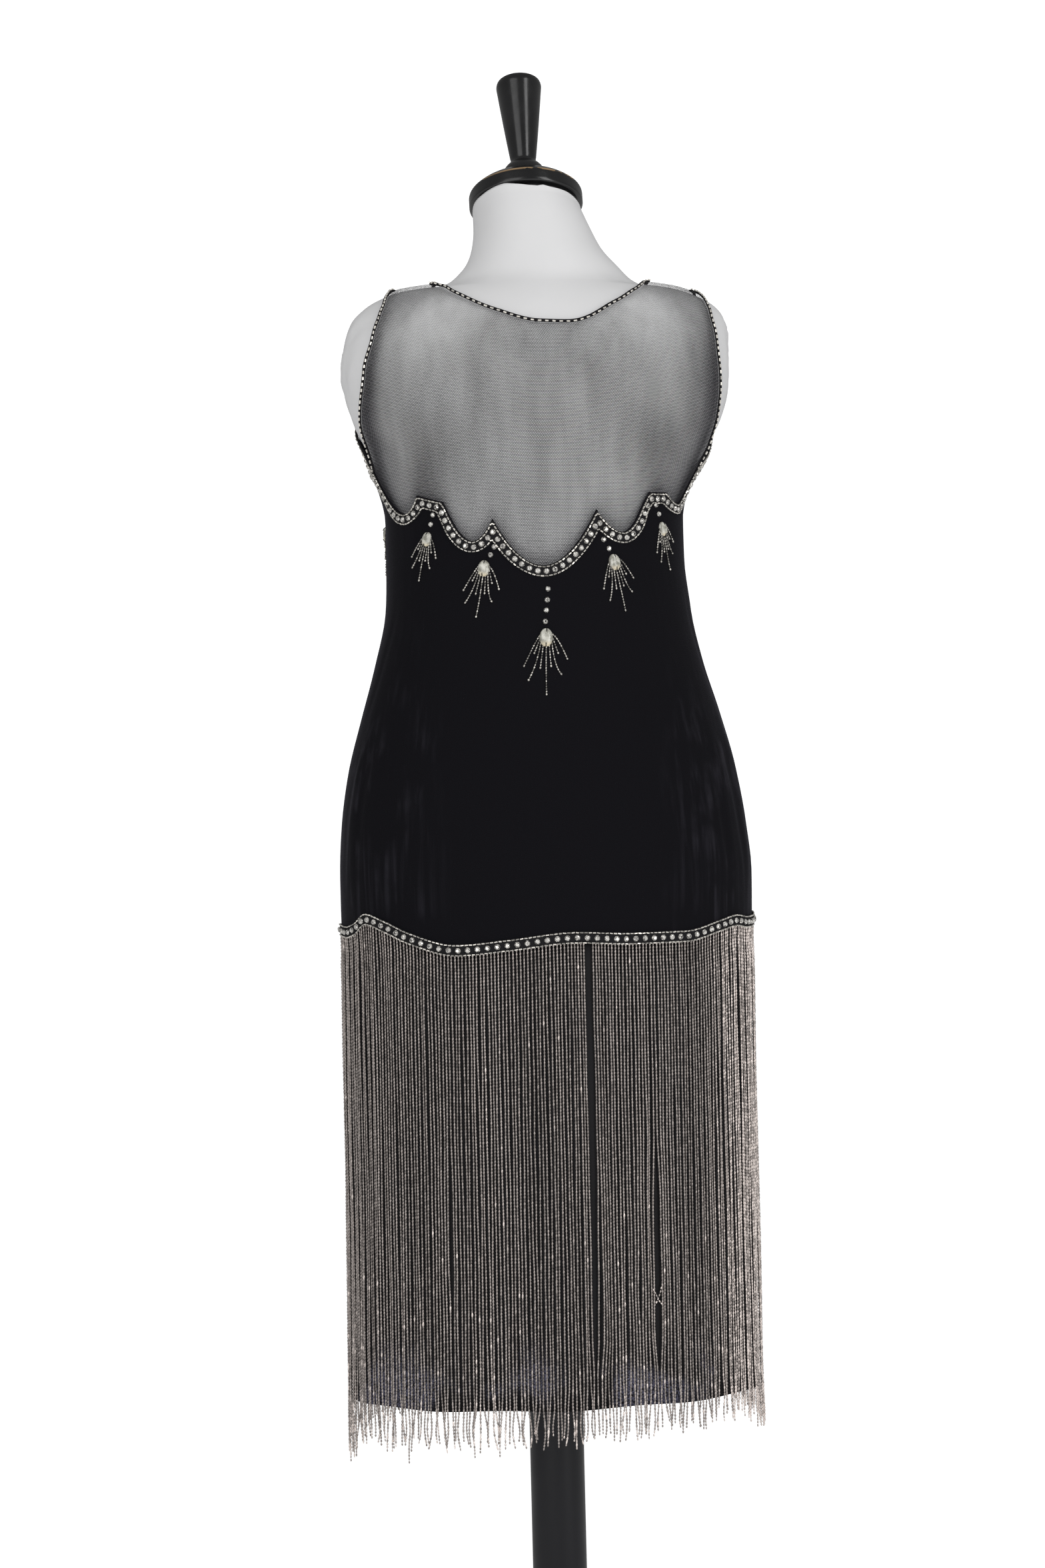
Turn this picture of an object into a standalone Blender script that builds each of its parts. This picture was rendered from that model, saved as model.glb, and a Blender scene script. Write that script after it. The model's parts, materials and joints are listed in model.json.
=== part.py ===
"""Beaded flapper dress worn on a limbless dress form with a turned stand.

Metres, +Z up. The back of the dress faces -Y, the front +Y. The underside of
the stand's base is at z = 0 and its pole stands on the Z axis.
"""
import math
import random

import bmesh
import bpy
import numpy as np
from mathutils import Vector
from mathutils.bvhtree import BVHTree

# general sizes
GAP = 0.0003
VELVET_WALL = 0.0016
NET_WALL = 0.0010
SKIRT_WALL = 0.0012
SIDE_SEAM_GAP_DEG = 0.08
SHOULDER_SEAM_GAP_DEG = 0.80
SCALLOP_SEAM_GAP = 0.0011
HIP_SEAM_GAP = 0.0026

# Sections of the body from the hem up to the neck. Angles go round from 0 at
# +X over 90 at the front, 180 at -X and 270 at the back. Ease is the distance
# from the body to the outside of the dress.
SECTION_COLUMNS = ("height", "half_width", "middle_y", "back", "front",
                   "shift_x", "squareness", "lean", "ease")
SECTIONS = (
    (0.360, 0.1764, 0.000, 0.1080, 0.107, 0.0010, 2.00, 0.00, 0.0085),
    (0.600, 0.1752, 0.000, 0.1110, 0.107, 0.0022, 2.00, 0.00, 0.0085),
    (0.790, 0.1750, 0.000, 0.1145, 0.107, 0.0028, 2.00, 0.00, 0.0085),
    (0.830, 0.1768, 0.000, 0.1160, 0.107, 0.0028, 2.00, 0.00, 0.0085),
    (0.870, 0.1772, 0.000, 0.1170, 0.107, 0.0030, 2.00, 0.00, 0.0085),
    (0.914, 0.1745, 0.000, 0.1160, 0.106, 0.0020, 2.00, 0.00, 0.0080),
    (0.962, 0.1678, 0.000, 0.1120, 0.104, 0.0015, 2.00, 0.00, 0.0072),
    (1.010, 0.1557, 0.000, 0.1060, 0.102, 0.0015, 2.00, 0.00, 0.0066),
    (1.058, 0.1422, 0.000, 0.1010, 0.102, 0.0010, 2.00, 0.00, 0.0060),
    (1.106, 0.1323, 0.000, 0.0980, 0.104, 0.0015, 2.00, 0.00, 0.0055),
    (1.150, 0.1297, 0.000, 0.0970, 0.111, 0.0000, 2.00, 0.00, 0.0048),
    (1.190, 0.1305, 0.000, 0.0980, 0.115, 0.0000, 2.00, 0.00, 0.0038),
    (1.225, 0.1410, 0.000, 0.0990, 0.111, 0.0015, 2.10, 0.00, 0.0028),
    (1.253, 0.1545, 0.000, 0.1000, 0.103, 0.0050, 2.15, 0.00, 0.0025),
    (1.276, 0.1662, 0.000, 0.0990, 0.095, 0.0050, 2.20, 0.00, 0.0023),
    (1.301, 0.1728, 0.000, 0.0970, 0.087, 0.0050, 2.20, 0.00, 0.0022),
    (1.325, 0.1757, 0.000, 0.0920, 0.079, 0.0040, 2.20, 0.00, 0.0022),
    (1.349, 0.1742, 0.000, 0.0850, 0.072, 0.0058, 2.10, 0.00, 0.0022),
    (1.368, 0.1697, 0.001, 0.0770, 0.065, 0.0078, 1.90, 0.00, 0.0026),
    (1.381, 0.1590, 0.002, 0.0700, 0.059, 0.0092, 1.75, 0.00, 0.0032),
    (1.3905, 0.1430, 0.004, 0.0650, 0.054, 0.0090, 1.65, 0.00, 0.0032),
    (1.397, 0.1240, 0.006, 0.0620, 0.051, 0.0085, 1.60, 0.00, 0.0037),
    (1.3995, 0.1010, 0.008, 0.0600, 0.049, 0.0085, 1.60, 0.00, 0.0037),
    (1.404, 0.0860, 0.009, 0.0580, 0.048, 0.0118, 1.65, 0.03, 0.0037),
    (1.415, 0.0730, 0.011, 0.0560, 0.048, 0.0122, 1.80, 0.10, 0.0026),
    (1.4305, 0.0610, 0.014, 0.0530, 0.047, 0.0090, 1.95, 0.20, 0.0022),
    (1.450, 0.0540, 0.018, 0.0500, 0.047, 0.0056, 2.00, 0.32, 0.0022),
    (1.468, 0.0500, 0.023, 0.0490, 0.048, 0.0020, 2.00, 0.36, 0.0022),
)

# Soft upright folds of the velvet: angle, top, bottom, half width in degrees
# and height of the ridge.
FOLD_COLUMNS = ("angle", "top", "bottom", "half_width_deg", "ridge")
FOLDS = (
    (198.0, 1.030, 0.835, 5.0, 0.0016),
    (209.0, 1.000, 0.840, 5.0, 0.0013),
    (221.0, 0.960, 0.845, 6.0, 0.0010),
    (320.0, 0.980, 0.840, 6.0, 0.0011),
    (331.0, 1.020, 0.835, 5.0, 0.0015),
    (343.0, 1.030, 0.840, 5.0, 0.0014),
    (16.0, 1.020, 0.840, 5.0, 0.0014),
    (30.0, 0.990, 0.840, 6.0, 0.0012),
    (151.0, 0.980, 0.840, 6.0, 0.0012),
    (164.0, 1.020, 0.835, 5.0, 0.0014),
)

# Turning points of the scalloped upper edge of the velvet: a sharp one is a
# corner, the others are the round bottoms of the scallops.
SCALLOP_COLUMNS = ("angle", "height", "sharp")
SCALLOP_BEND = 1.9
SCALLOP_BACK = (
    (180.0, 1.2370, 1),
    (187.0, 1.2330, 1),
    (207.0, 1.1935, 0),
    (216.5, 1.2085, 1),
    (229.0, 1.2010, 1),
    (241.5, 1.1652, 0),
    (249.5, 1.1840, 1),
    (268.5, 1.1420, 0),
    (289.7, 1.1905, 1),
    (301.0, 1.1712, 0),
    (313.5, 1.2070, 1),
    (324.5, 1.2080, 1),
    (336.5, 1.1995, 0),
    (346.0, 1.2300, 1),
    (360.0, 1.2470, 1),
)
SCALLOP_FRONT = (
    (0.0, 1.2470, 1),
    (13.0, 1.2670, 1),
    (26.0, 1.2150, 0),
    (37.0, 1.2260, 1),
    (48.0, 1.2230, 1),
    (60.0, 1.1860, 0),
    (69.0, 1.2050, 1),
    (90.0, 1.1600, 0),
    (111.0, 1.2050, 1),
    (120.0, 1.1860, 0),
    (132.0, 1.2230, 1),
    (143.0, 1.2260, 1),
    (154.0, 1.2150, 0),
    (167.0, 1.2670, 1),
    (180.0, 1.2370, 1),
)

# Middle line of the beaded band on the hips: angle and height.
HIP_LINE = (
    (0.0, 0.8275), (10.0, 0.8250), (20.0, 0.8244), (29.0, 0.8267),
    (38.0, 0.8232), (53.0, 0.8156), (70.0, 0.8156), (87.0, 0.8180),
    (104.0, 0.8129), (120.0, 0.8087), (135.0, 0.8195), (145.0, 0.8300),
    (154.0, 0.8362), (161.0, 0.8290), (170.0, 0.8244), (180.0, 0.8262),
    (192.0, 0.8244), (199.0, 0.8275), (206.0, 0.8362), (215.0, 0.8300),
    (225.0, 0.8195), (240.0, 0.8090), (256.0, 0.8129), (273.0, 0.8180),
    (290.0, 0.8156), (307.0, 0.8156), (322.0, 0.8232), (331.0, 0.8267),
    (340.0, 0.8244), (350.0, 0.8250), (360.0, 0.8275),
)

# Edges of the net yoke: angle and height.
NECKLINE_BACK = (
    (180.0, 1.4011), (202.0, 1.3990), (224.0, 1.3932), (234.0, 1.3855),
    (254.0, 1.3660), (268.0, 1.3550), (276.0, 1.3540), (294.0, 1.3735),
    (306.0, 1.3860), (323.0, 1.3964), (342.0, 1.3988), (360.0, 1.3996),
)
NECKLINE_FRONT = (
    (0.0, 1.3996), (24.0, 1.3984), (42.0, 1.3961), (53.0, 1.3872),
    (61.0, 1.3680), (69.0, 1.3430), (78.0, 1.3240), (90.0, 1.3170),
    (102.0, 1.3240), (111.0, 1.3430), (119.0, 1.3680), (127.0, 1.3872),
    (138.0, 1.3961), (156.0, 1.3988), (180.0, 1.4011),
)
ARMHOLE_LEFT_BACK = (
    (187.0, 1.2330), (190.0, 1.2490), (197.0, 1.2724), (204.0, 1.2945),
    (210.0, 1.3198), (213.0, 1.3459), (212.5, 1.3640), (209.0, 1.3781),
    (196.0, 1.3917), (180.0, 1.3964),
)
ARMHOLE_LEFT_FRONT = (
    (167.0, 1.2670), (160.0, 1.2790), (153.0, 1.2980), (148.0, 1.3220),
    (146.0, 1.3480), (149.0, 1.3721), (161.0, 1.3905), (180.0, 1.3964),
)
ARMHOLE_RIGHT_BACK = (
    (346.0, 1.2300), (342.5, 1.2500), (338.0, 1.2700), (335.0, 1.2903),
    (333.0, 1.3139), (331.5, 1.3376), (331.0, 1.3600), (334.0, 1.3751),
    (345.0, 1.3881), (360.0, 1.3936),
)
ARMHOLE_RIGHT_FRONT = (
    (13.0, 1.2670), (20.0, 1.2790), (27.0, 1.2980), (32.0, 1.3220),
    (34.0, 1.3480), (31.0, 1.3690), (19.0, 1.3872), (0.0, 1.3936),
)

# Numbers of columns and rows in the cloth.
YOKE_COLUMNS_PER_SEAM = 3
METRES_PER_DEGREE = 0.0024
METRES_PER_LEVEL = 0.0180
PATCH_TURNS = 400
BINDING_GAP = 0.0009
YOKE_ROWS = 9
YOKE_ROW_CROWDING = 1.4
BODICE_ROWS_BELOW_BAND = 7
SKIRT_COLUMNS = 25
HIP_BAND_COLUMNS = 64
SKIRT_HEIGHTS = (0.407, 0.500, 0.600, 0.710)

# Bands and bindings
SCALLOP_BAND_WIDTH = 0.0110
HIP_BAND_WIDTH = 0.0120
BAND_THICKNESS = 0.0011
HIP_BAND_LIFT = 0.0004
BINDING_WIDTH = 0.0028
BINDING_HEIGHT = 0.0018

# Fringe of beaded strands
STRANDS_PER_SIDE = 104
FRINGE_STRIP_HEIGHT = 0.0030
FRINGE_SEAM_GAP = 0.0006
FRINGE_LIFT = 0.0007
STRAND_WIDTH = 0.0020
STRAND_DEPTH = 0.0018
FRINGE_END_HEIGHT = 0.376
FRINGE_END_SPREAD = 0.0016
FRINGE_SEED = 7

# Sprays of beads below a big oval stone: place of the stone, turn of the
# whole spray in degrees and size.
SPRAY_COLUMNS = ("name", "angle", "height", "turn", "size")
SPRAYS = (
    ("spray_back_1", 220.3, 1.1688, -14.0, 0.74),
    ("spray_back_2", 245.7, 1.1406, -9.0, 0.86),
    ("spray_back_3", 268.3, 1.0784, 0.0, 1.00),
    ("spray_back_4", 296.7, 1.1441, 9.0, 0.86),
    ("spray_back_5", 323.5, 1.1747, 14.0, 0.74),
    ("spray_front_1", 12.0, 1.1800, -10.0, 0.74),
    ("spray_front_2", 52.0, 1.1560, -9.0, 0.86),
    ("spray_front_3", 90.0, 1.0960, 0.0, 1.00),
    ("spray_front_4", 128.0, 1.1560, 9.0, 0.86),
    ("spray_front_5", 169.0, 1.1800, 8.0, 0.74),
)
STONE_HALF_WIDTH = 0.0061
STONE_HALF_HEIGHT = 0.0083
STONE_BASE = 0.0005
STONE_EDGE = 0.0017
STONE_TOP = 0.0040
STONE_TOP_SHARE = 0.56
STONE_TOP_SIDES = 9
# Rays of a spray in millimetres from the middle of its stone, in order round
# the stone from its left; a bend at the tip means a straight ray.
RAY_COLUMNS = ("root_x", "root_y", "bend_x", "bend_y", "tip_x", "tip_y")
RAYS = (
    (-6.0, 1.2, -11.0, -7.5, -18.8, -24.5),
    (-5.9, -2.6, -10.2, -13.5, -10.2, -13.5),
    (-4.9, -5.6, -8.9, -23.0, -15.1, -37.0),
    (-2.7, -7.6, -5.3, -26.6, -5.3, -26.6),
    (0.0, -8.4, -0.6, -28.5, -1.0, -49.9),
    (2.7, -7.6, 3.7, -25.1, 3.7, -25.1),
    (5.0, -5.2, 7.4, -23.5, 11.8, -32.4),
    (6.1, -1.6, 10.0, -13.8, 10.0, -13.8),
    (5.9, 2.4, 11.4, -4.0, 17.6, -19.0),
)
UPPER_RIM = ((4.6, 5.6), (0.0, 8.3), (-4.6, 5.6))
RAY_HALF_WIDTH = 0.00078
RAY_TOP = 0.0017

# Dress form and stand
FORM_BOTTOM = 0.915
FORM_INSET = 0.0011
FORM_SIDES = 38
FORM_LEVEL_RUNS = ((0.915, 1.190, 5), (1.190, 1.368, 7), (1.368, 1.450, 11), (1.450, 1.468, 2))
HEAD_LEAN = math.atan(SECTIONS[-1][7])
POLE_RADIUS = 0.0243
POLE_SIDES = 28
FINIAL_STEPS = 20
CAP_STEPS = 28
BASE_STEPS = 36
CAP_PROFILE = (
    (0.0000, 0.0003), (0.0440, 0.0003), (0.0465, 0.0055), (0.0500, 0.0065),
    (0.0516, 0.0085), (0.0516, 0.0150), (0.0495, 0.0185), (0.0380, 0.0255),
    (0.0220, 0.0325), (0.0130, 0.0350), (0.0000, 0.0350),
)
FINIAL_PROFILE = (
    (0.0000, 0.0353), (0.0192, 0.0353), (0.0198, 0.0385), (0.0185, 0.0440),
    (0.0150, 0.0490), (0.0116, 0.0520), (0.0113, 0.0536), (0.0120, 0.0580),
    (0.0203, 0.1270), (0.0207, 0.1308), (0.0198, 0.1348), (0.0168, 0.1370),
    (0.0090, 0.1380), (0.0000, 0.1382),
)
BASE_PROFILE = (
    (0.0000, 0.0000), (0.1970, 0.0000), (0.2000, 0.0030), (0.2000, 0.0110),
    (0.1960, 0.0150), (0.1200, 0.0190), (0.0520, 0.0240), (0.0420, 0.0280),
    (0.0380, 0.0360), (0.0300, 0.0380), (0.0000, 0.0380),
)

COLOURS = {
    "velvet": ((0.016, 0.015, 0.020), 0.85, 0.0),
    "net": ((0.120, 0.120, 0.125), 0.80, 0.0),
    "underskirt": ((0.014, 0.013, 0.016), 0.70, 0.0),
    "beaded_band": ((0.100, 0.095, 0.090), 0.45, 0.4),
    "binding": ((0.030, 0.030, 0.032), 0.60, 0.0),
    "bead_fringe": ((0.190, 0.180, 0.165), 0.35, 0.5),
    "stone": ((0.720, 0.690, 0.600), 0.25, 0.0),
    "jersey": ((0.780, 0.780, 0.790), 0.60, 0.0),
    "turned_black": ((0.020, 0.020, 0.021), 0.40, 0.0),
    "pole_black": ((0.030, 0.030, 0.034), 0.38, 0.2),
}


# surface of the body and of the dress

TABLE = np.array(SECTIONS)
LAST_LEVEL = len(SECTIONS) - 1


def blend(level, name):
    """Value of one column at a level; levels count the sections from below."""
    values = TABLE[:, SECTION_COLUMNS.index(name)]
    steps = np.diff(values)
    products = steps[:-1] * steps[1:]
    sums = steps[:-1] + steps[1:]
    slopes = np.zeros_like(values)
    slopes[1:-1] = np.where(products > 0, 2 * products / np.where(sums == 0, 1, sums), 0)
    slopes[0] = steps[0]
    slopes[-1] = steps[-1]
    level = np.clip(level, 0, LAST_LEVEL)
    below = np.clip(np.floor(level).astype(int), 0, LAST_LEVEL - 1)
    t = level - below
    start = (2 * t**3 - 3 * t**2 + 1) * values[below] + (t**3 - 2 * t**2 + t) * slopes[below]
    end = (3 * t**2 - 2 * t**3) * values[below + 1] + (t**3 - t**2) * slopes[below + 1]
    return start + end


FINE_LEVELS = np.linspace(0, LAST_LEVEL, 4001)
FINE_HEIGHTS = blend(FINE_LEVELS, "height")


def level_at(height):
    return np.interp(height, FINE_HEIGHTS, FINE_LEVELS)


def skin(angle, level):
    """Points of the body at angles and levels."""
    turn = np.radians(np.asarray(angle, float))
    level = np.asarray(level, float)
    power = 2 / blend(level, "squareness")
    across = np.cos(turn)
    deep = np.sin(turn)
    x = np.sign(across) * np.abs(across) ** power * blend(level, "half_width")
    reach = np.where(deep < 0, -blend(level, "back"), blend(level, "front"))
    y = reach * np.abs(deep) ** power
    z = blend(level, "height") - blend(level, "lean") * y
    return np.stack([x + blend(level, "shift_x"), y + blend(level, "middle_y"), z + 0 * x], -1)


def outward(angle, level):
    """Unit vectors that stand out from the body."""
    turned = skin(angle + 0.4, level) - skin(angle - 0.4, level)
    above = skin(angle, np.minimum(level + 0.02, LAST_LEVEL))
    below = skin(angle, np.maximum(level - 0.02, 0))
    vectors = np.cross(turned, above - below)
    return vectors / np.linalg.norm(vectors, axis=-1, keepdims=True)


def fold_ridge(angle, level):
    """Height of the soft upright folds."""
    height = blend(level, "height")
    total = np.zeros(np.broadcast(angle, level).shape)
    for fold in FOLDS:
        place, top, bottom, half_width, ridge = fold
        side = np.clip(1 - ((angle - place) / half_width) ** 2, 0, 1) ** 2
        along = np.clip((height - bottom) / 0.05, 0, 1) * np.clip((top - height) / 0.09, 0, 1)
        total = total + ridge * side * along
    return total


def cloth(angle, level, out=0.0):
    """Points on the outside of the dress, moved out by a distance."""
    angle = np.asarray(angle, float)
    level = np.asarray(level, float)
    distance = blend(level, "ease") + fold_ridge(angle, level) + out
    return skin(angle, level) + outward(angle, level) * distance[..., None]


def slide(angle, level, across, along):
    """Places reached by moving over the cloth: across to the right, along up."""
    turned = (cloth(angle + 0.5, level) - cloth(angle - 0.5, level))
    raised = (cloth(angle, level + 0.05) - cloth(angle, level - 0.05)) / 0.1
    degree = np.linalg.norm(turned, axis=-1)
    step = np.linalg.norm(raised, axis=-1)
    return angle + across / degree, level + along / step


def beside(angles, levels, distance, closed):
    """A line on the cloth moved sideways; positive is to the left of its way."""
    if closed:
        before = (np.roll(angles, 1), np.roll(levels, 1))
        after = (np.roll(angles, -1), np.roll(levels, -1))
        before[0][0] -= 360 * np.round((before[0][0] - angles[0]) / 360)
        after[0][-1] -= 360 * np.round((after[0][-1] - angles[-1]) / 360)
    else:
        before = (np.concatenate([angles[:1], angles[:-1]]), np.concatenate([levels[:1], levels[:-1]]))
        after = (np.concatenate([angles[1:], angles[-1:]]), np.concatenate([levels[1:], levels[-1:]]))
    way = cloth(after[0], after[1]) - cloth(before[0], before[1])
    out = outward(angles, levels)
    side = np.cross(out, way)
    side /= np.linalg.norm(side, axis=-1, keepdims=True)
    per_degree = cloth(angles + 0.5, levels) - cloth(angles - 0.5, levels)
    per_level = (cloth(angles, levels + 0.05) - cloth(angles, levels - 0.05)) / 0.1
    aa = (per_degree * per_degree).sum(-1)
    ll = (per_level * per_level).sum(-1)
    al = (per_degree * per_level).sum(-1)
    sa = (side * per_degree).sum(-1) * distance
    sl = (side * per_level).sum(-1) * distance
    whole = aa * ll - al * al
    return angles + (sa * ll - sl * al) / whole, levels + (sl * aa - sa * al) / whole


def line_points(rows, count, crowding=1.0):
    """Angles and levels in steps along a table of angles and heights."""
    angles = np.array([row[0] for row in rows])
    levels = level_at(np.array([row[1] for row in rows]))
    places = cloth(angles, levels)
    lengths = np.linalg.norm(np.diff(places, axis=0), axis=1)
    along = np.concatenate([[0.0], np.cumsum(lengths)])
    steps = (1 - (1 - np.linspace(0.0, 1.0, count)) ** crowding) * along[-1]
    return soft_curve(along, angles, steps), soft_curve(along, levels, steps)


def soft_curve(knots, values, places):
    """Smooth curve through the knots that doesn't overshoot them."""
    widths = np.diff(knots)
    rises = np.diff(values) / widths
    slopes = np.zeros_like(values)
    products = rises[:-1] * rises[1:]
    sums = rises[:-1] + rises[1:]
    slopes[1:-1] = np.where(products > 0, 2 * products / np.where(sums == 0, 1, sums), 0)
    slopes[0] = rises[0]
    slopes[-1] = rises[-1]
    i = np.clip(np.searchsorted(knots, places) - 1, 0, len(widths) - 1)
    t = (places - knots[i]) / widths[i]
    start = (2 * t**3 - 3 * t**2 + 1) * values[i] + (t**3 - 2 * t**2 + t) * widths[i] * slopes[i]
    end = (3 * t**2 - 2 * t**3) * values[i + 1] + (t**3 - t**2) * widths[i] * slopes[i + 1]
    return start + end


def hip_height(angle):
    rows = np.array(HIP_LINE)
    return soft_curve(rows[:, 0], rows[:, 1], np.mod(angle, 360.0))


def hip_seam_height(angle):
    """Seam of the bodice and the underskirt, straight between the skirt's columns."""
    knots = np.linspace(0, 360, 2 * (SKIRT_COLUMNS - 1) + 1)
    return np.interp(angle, knots, hip_height(knots)) - 0.0030


def band_height(angle):
    """Middle of the hip band, straight between its columns."""
    knots = np.linspace(0, 360, HIP_BAND_COLUMNS + 1)
    return np.interp(angle, knots, hip_height(knots))


def scallop_angles(rows, low, high):
    """Angles of the columns of a scalloped edge, with one at each corner."""
    result = []
    for row, following in zip(rows, rows[1:]):
        width = following[0] - row[0]
        if following[0] <= low + 0.01 or row[0] >= high - 0.01:
            continue
        if row[2] and following[2]:
            count = 2 if width > 8 else 1
        else:
            count = 4 if width > 17 else 3
        for step in range(count):
            t = step / count
            if following[2] and not row[2]:
                t = t ** 0.75
            if row[2] and not following[2]:
                t = 1 - (1 - t) ** 0.75
            result.append(row[0] + width * t)
    result.append(high)
    return np.array([angle for angle in result if low - 0.01 <= angle <= high + 0.01])


def scallop_height(rows, angles):
    """Height of the scalloped edge at angles."""
    heights = []
    for angle in np.atleast_1d(angles):
        for row, following in zip(rows, rows[1:]):
            if angle <= following[0] + 1e-9:
                break
        t = (angle - row[0]) / (following[0] - row[0])
        t = min(max(t, 0.0), 1.0)
        if following[2] and not row[2]:
            share = t ** SCALLOP_BEND
        elif row[2] and not following[2]:
            share = 1 - (1 - t) ** SCALLOP_BEND
        else:
            share = t
        heights.append(row[1] + (following[1] - row[1]) * share)
    return np.array(heights)


def below_edge(rows, angles, width):
    """Height of a line that runs at a set distance below the scalloped edge."""
    low = rows[0][0]
    high = rows[-1][0]
    fine = np.linspace(low, high, 721)
    heights = scallop_height(rows, fine)
    places = cloth(fine, level_at(heights))
    steps = np.hypot(np.diff(places[:, 0]), np.diff(places[:, 1]))
    along = np.concatenate([[0.0], np.cumsum(steps)])
    here = np.interp(angles, fine, along)
    result = []
    for place in here:
        near = np.abs(along - place) < width
        drop = np.sqrt(width**2 - (along[near] - place) ** 2)
        result.append((heights[near] - drop).min())
    return np.array(result)


# meshes

def paint(obj, colour_name):
    colour, roughness, metallic = COLOURS[colour_name]
    material = bpy.data.materials.new(colour_name + "_" + obj.name)
    material.use_nodes = True
    shader = material.node_tree.nodes["Principled BSDF"]
    shader.inputs["Base Color"].default_value = (*colour, 1.0)
    shader.inputs["Roughness"].default_value = roughness
    shader.inputs["Metallic"].default_value = metallic
    material.diffuse_color = (*colour, 1.0)
    obj.data.materials.clear()
    obj.data.materials.append(material)


def new_object(name, vertices, faces, colour_name, smooth=True):
    mesh = bpy.data.meshes.new(name)
    mesh.from_pydata([tuple(map(float, v)) for v in vertices], [], faces)
    mesh.validate()
    if smooth:
        mesh.shade_smooth()
    obj = bpy.data.objects.new(name, mesh)
    bpy.context.scene.collection.objects.link(obj)
    face_outwards(obj)
    paint(obj, colour_name)
    return obj


def face_outwards(obj):
    work = bmesh.new()
    work.from_mesh(obj.data)
    bmesh.ops.recalc_face_normals(work, faces=work.faces)
    if work.calc_volume(signed=True) < 0:
        bmesh.ops.reverse_faces(work, faces=work.faces)
    work.to_mesh(obj.data)
    work.free()


def wall_from_grids(name, outer, inner, colour_name):
    """Closed wall between two grids of points with open edges."""
    rows, columns = outer.shape[:2]
    count = rows * columns
    vertices = np.concatenate([outer.reshape(-1, 3), inner.reshape(-1, 3)])
    faces = []
    for row in range(rows - 1):
        for column in range(columns - 1):
            a = row * columns + column
            b = a + columns + 1
            for corners in ((a, a + 1, b), (a, b, b - 1)):
                faces.append(corners)
                faces.append(tuple(count + corner for corner in reversed(corners)))
    rim = [column for column in range(columns)]
    rim += [row * columns + columns - 1 for row in range(1, rows)]
    rim += [(rows - 1) * columns + column for column in range(columns - 2, -1, -1)]
    rim += [row * columns for row in range(rows - 2, 0, -1)]
    for here, there in zip(rim, rim[1:] + rim[:1]):
        faces.append((there, here, here + count, there + count))
    return new_object(name, vertices, faces, colour_name)


def ring_from_loops(name, loops, colour_name):
    """Closed ring whose cross-section goes round through the given loops."""
    loops = [np.asarray(loop) for loop in loops]
    sides = len(loops)
    count = len(loops[0])
    vertices = np.concatenate(loops)
    faces = []
    for side in range(sides):
        following = (side + 1) % sides
        for i in range(count):
            j = (i + 1) % count
            faces.append((side * count + i, side * count + j,
                          following * count + j, following * count + i))
    return new_object(name, vertices, faces, colour_name)


def patch(bottom, top, left, right):
    """Angles and levels of a four-sided patch between its edges."""
    rows = left.shape[0]
    columns = bottom.shape[0]
    u = np.linspace(0, 1, columns)[None, :, None]
    v = (1 - (1 - np.linspace(0, 1, rows)) ** YOKE_ROW_CROWDING)[:, None, None]
    across = (1 - v) * bottom[None] + v * top[None]
    left_bow = left[:, None] - (1 - v) * bottom[0] - v * top[0]
    right_bow = right[:, None] - (1 - v) * bottom[-1] - v * top[-1]
    grid = across + (1 - u) * left_bow + u * right_bow
    scale = np.array([METRES_PER_DEGREE, METRES_PER_LEVEL])
    grid = relax(grid * scale, PATCH_TURNS) / scale
    return grid[..., 0], grid[..., 1]


def relax(grid, turns):
    """Even out the inner points of a grid so that its cells don't cross."""
    for _ in range(turns):
        east = grid[1:-1, 2:]
        west = grid[1:-1, :-2]
        north = grid[2:, 1:-1]
        south = grid[:-2, 1:-1]
        along_row = (east - west) / 2
        along_column = (north - south) / 2
        alpha = (along_column ** 2).sum(-1, keepdims=True)
        beta = (along_row * along_column).sum(-1, keepdims=True)
        gamma = (along_row ** 2).sum(-1, keepdims=True)
        corners = grid[2:, 2:] - grid[2:, :-2] - grid[:-2, 2:] + grid[:-2, :-2]
        sums = alpha * (east + west) + gamma * (north + south) - beta / 2 * corners
        grid = grid.copy()
        grid[1:-1, 1:-1] = sums / (2 * (alpha + gamma))
    return grid


# cloth

EDGES = {}


def build_yoke(name, scallops, low, high, armhole_low, armhole_high, neckline):
    """Net yoke between the scallops, the armholes and the neckline."""
    angles = scallop_angles(scallops, low, high)
    angles[0] = low
    angles[-1] = high
    heights = scallop_height(scallops, angles) + SCALLOP_SEAM_GAP
    bottom = np.stack([angles, level_at(heights)], -1)
    left = np.stack(line_points(armhole_low, YOKE_ROWS, YOKE_ROW_CROWDING), -1)
    right = np.stack(line_points(armhole_high, YOKE_ROWS, YOKE_ROW_CROWDING), -1)
    count = len(angles)
    seam_steps = YOKE_COLUMNS_PER_SEAM
    rows = np.array(neckline)
    turns = np.linspace(rows[0, 0], rows[-1, 0], count - 2 * seam_steps)
    edge = np.stack([turns, level_at(soft_curve(rows[:, 0], rows[:, 1], turns))], -1)
    share = np.linspace(0, 1, seam_steps, endpoint=False)[:, None]
    first = left[-1] + (edge[0] - left[-1]) * share
    last = edge[-1] + (right[-1] - edge[-1]) * (share + 1 / seam_steps)
    top = np.concatenate([first, edge, last])
    left[0] = bottom[0]
    right[0] = bottom[-1]
    EDGES[name] = {"neck": edge, "low": left, "high": right}
    grid_angles, grid_levels = patch(bottom, top, left, right)
    grid_angles = np.clip(grid_angles, low_side(low), high_side(high))
    outer = cloth(grid_angles, grid_levels)
    inner = cloth(grid_angles, grid_levels, -NET_WALL)
    return wall_from_grids(name, outer, inner, "net")


def low_side(angle):
    return (0.0 if angle < 180.0 else 180.0) + SHOULDER_SEAM_GAP_DEG


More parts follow.
